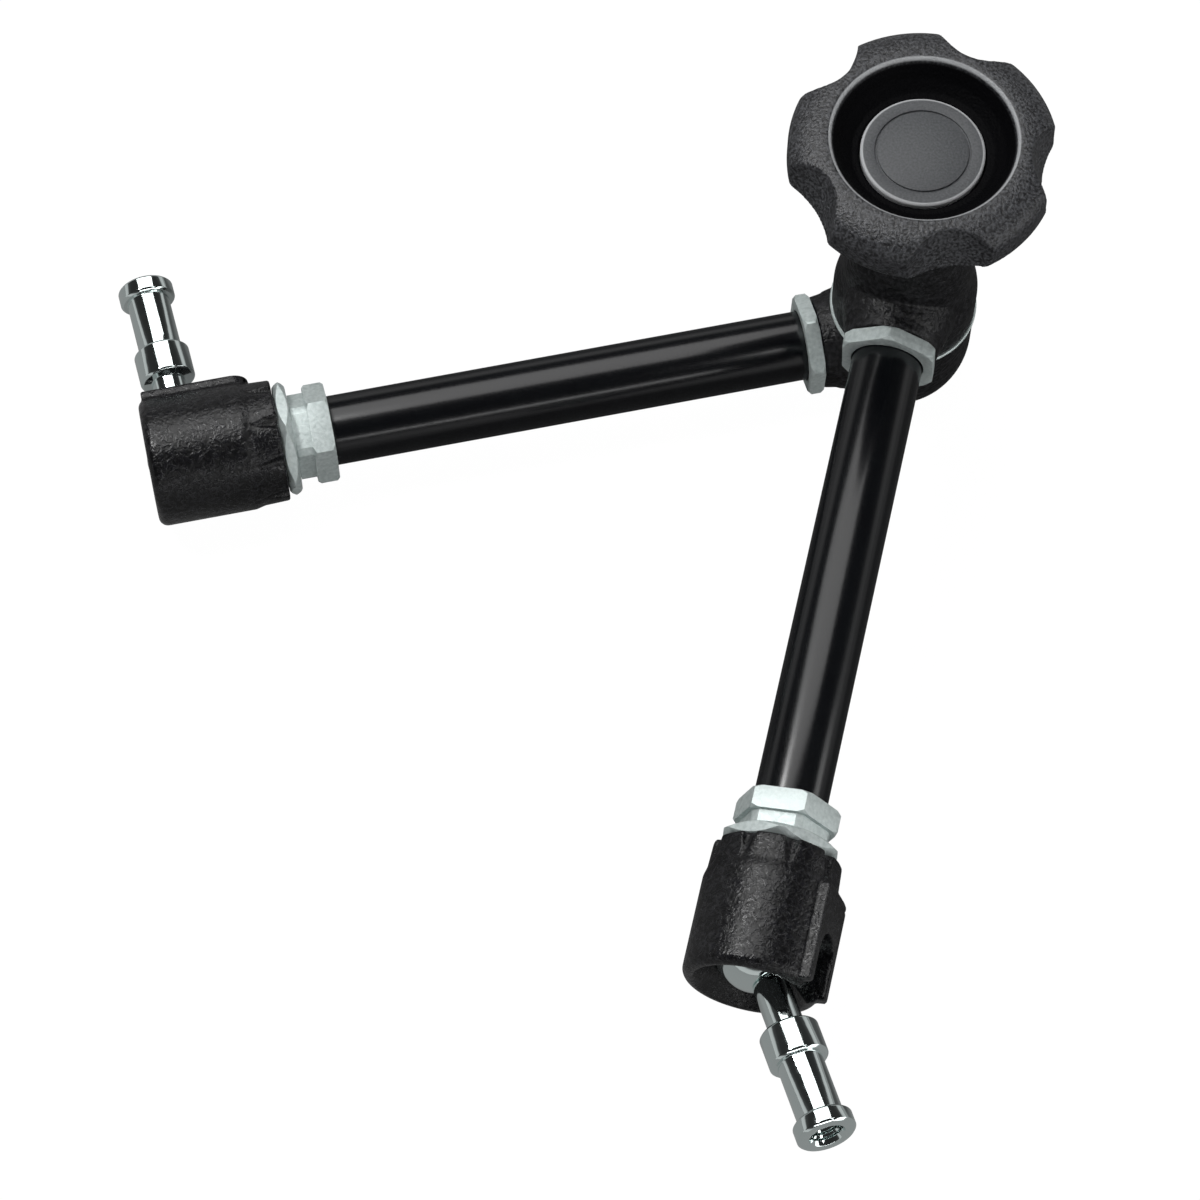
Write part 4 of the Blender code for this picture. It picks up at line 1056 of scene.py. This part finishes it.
def make_finishes():
    """Every finish, by the name of what wears it."""
    return {
        "tube": gloss_black(),
        "casting": satin_black(),
        "housing": wrinkle_black(),
        "knob": knob_plastic(),
        "cap": cap_plastic(),
        "nickel": nickel(),
        "chrome": chrome(),
        "steel": plain_metal("plain_steel", (0.33, 0.33, 0.34), (0.55, 0.55, 0.56), 0.28, 0.45),
        "brass": plain_metal("turned_brass", (0.58, 0.42, 0.18), (0.78, 0.60, 0.30), 0.22, 0.38),
        "nylon": nylon(),
    }


def add_camera():
    """The photograph's view, from the front and high above."""
    elevation = radians(64.35)
    distance = 1.1682
    target = Vector((-0.0869, -0.0877, 0.0200))
    data = bpy.data.cameras.new("camera")
    data.sensor_width = 36.0
    data.lens = 124.81
    camera = bpy.data.objects.new("camera", data)
    bpy.context.collection.objects.link(camera)
    camera.location = target + distance * Vector((0, -cos(elevation), sin(elevation)))
    camera.rotation_euler = (pi / 2 - elevation, 0, 0)
    bpy.context.scene.camera = camera


def add_soft_light(name, azimuth, elevation, distance, size, power):
    """A square soft light that looks at the arm's middle."""
    target = Vector((-0.08, -0.08, 0.04))
    a = radians(azimuth)
    e = radians(elevation)
    way = Vector((cos(e) * cos(a), cos(e) * sin(a), sin(e)))
    data = bpy.data.lights.new(name, "AREA")
    data.shape = "RECTANGLE"
    data.size = size[0]
    data.size_y = size[1]
    data.energy = power
    light = bpy.data.objects.new(name, data)
    bpy.context.collection.objects.link(light)
    light.location = target + distance * way
    light.rotation_euler = way.to_track_quat("Z", "Y").to_euler()


def add_floor():
    """A pale floor, even to the camera, whose brightness in reflections changes with place: dimmed near
    the elbow as painted shade, brighter out by the studs.
    """
    bpy.ops.object.select_all(action="DESELECT")
    bpy.ops.mesh.primitive_plane_add(size=12, location=(0, 0, -0.0006))
    floor = bpy.context.object
    floor.name = "floor"
    material = bpy.data.materials.new("pale_floor")
    material.use_nodes = True
    tree = material.node_tree
    tree.nodes.clear()
    out = tree.nodes.new("ShaderNodeOutputMaterial")
    matte = tree.nodes.new("ShaderNodeBsdfDiffuse")
    matte.inputs["Color"].default_value = (0.90, 0.90, 0.90, 1)
    glow = tree.nodes.new("ShaderNodeEmission")
    glow.inputs["Color"].default_value = (1, 1, 1, 1)
    rays = tree.nodes.new("ShaderNodeLightPath")
    # Glow seen in reflections: painted shade near the elbow, brighter out by the studs
    mirrored = ranged(
        tree, from_axis(tree), FLOOR_BY_ELBOW, FLOOR_BY_STUDS, ELBOW_FLOOR_END, STUDS_FLOOR_START
    )
    strength = tree.nodes.new("ShaderNodeMapRange")
    strength.inputs["To Max"].default_value = FLOOR_SEEN
    tree.links.new(mirrored, strength.inputs["To Min"])
    seen = tree.nodes.new("ShaderNodeMath")
    seen.operation = "MAXIMUM"
    also = tree.nodes.new("ShaderNodeMath")
    also.operation = "MAXIMUM"
    share = tree.nodes.new("ShaderNodeMath")
    share.operation = "MULTIPLY"
    share.inputs[1].default_value = FLOOR_GLOW_SHARE
    mix = tree.nodes.new("ShaderNodeMixShader")
    tree.links.new(rays.outputs["Is Camera Ray"], strength.inputs["Value"])
    tree.links.new(strength.outputs["Result"], glow.inputs["Strength"])
    tree.links.new(rays.outputs["Is Camera Ray"], seen.inputs[0])
    tree.links.new(rays.outputs["Is Glossy Ray"], seen.inputs[1])
    tree.links.new(seen.outputs[0], also.inputs[0])
    tree.links.new(rays.outputs["Is Transmission Ray"], also.inputs[1])
    tree.links.new(also.outputs[0], share.inputs[0])
    tree.links.new(share.outputs[0], mix.inputs[0])
    tree.links.new(matte.outputs[0], mix.inputs[1])
    tree.links.new(glow.outputs[0], mix.inputs[2])
    tree.links.new(mix.outputs[0], out.inputs["Surface"])
    floor.data.materials.append(material)


def add_world():
    """A pale horizon under a darker studio roof, plain white where the camera looks past the floor."""
    world = bpy.data.worlds.new("studio")
    world.use_nodes = True
    tree = world.node_tree
    tree.nodes.clear()
    out = tree.nodes.new("ShaderNodeOutputWorld")
    place = tree.nodes.new("ShaderNodeTexCoord")
    split = tree.nodes.new("ShaderNodeSeparateXYZ")
    ramp = tree.nodes.new("ShaderNodeValToRGB")
    stops = [(0.0, 0.55), (0.20, 0.50), (0.28, 0.06), (0.45, 0.03), (1.0, 0.02)]
    ramp.color_ramp.elements[0].position = stops[0][0]
    ramp.color_ramp.elements[0].color = (stops[0][1], stops[0][1], stops[0][1], 1)
    ramp.color_ramp.elements[1].position = stops[-1][0]
    ramp.color_ramp.elements[1].color = (stops[-1][1], stops[-1][1], stops[-1][1], 1)
    for position, value in stops[1:-1]:
        stop = ramp.color_ramp.elements.new(position)
        stop.color = (value, value, value, 1)
    roof = tree.nodes.new("ShaderNodeBackground")
    white = tree.nodes.new("ShaderNodeBackground")
    white.inputs["Color"].default_value = (1, 1, 1, 1)
    rays = tree.nodes.new("ShaderNodeLightPath")
    mix = tree.nodes.new("ShaderNodeMixShader")
    tree.links.new(place.outputs["Generated"], split.inputs[0])
    tree.links.new(split.outputs["Z"], ramp.inputs["Fac"])
    tree.links.new(ramp.outputs["Color"], roof.inputs["Color"])
    tree.links.new(rays.outputs["Is Camera Ray"], mix.inputs[0])
    tree.links.new(roof.outputs[0], mix.inputs[1])
    tree.links.new(white.outputs[0], mix.inputs[2])
    tree.links.new(mix.outputs[0], out.inputs["Surface"])
    bpy.context.scene.world = world


bpy.context.scene.view_settings.view_transform = "Standard"
finishes = make_finishes()
base_along = build_arm("base", finishes)
load_along = build_arm("load", finishes)
build_elbow(base_along, load_along, finishes)
build_knob(finishes)
finish_inner(finishes)
add_camera()
add_floor()
add_world()
add_soft_light("soft_box", 104, 63, 1.3, (1.25, 1.1), 11)
add_soft_light("left_key", 165, 62, 1.3, (0.25, 0.25), 6.0)
add_soft_light("right_key", -30, 50, 1.3, (0.25, 0.25), 1.2)
add_soft_light("front_strip", 287, 27, 1.4, (1.2, 0.13), 2.0)
add_soft_light("right_panel", -25, 14, 1.3, (1.2, 0.4), 3.6)
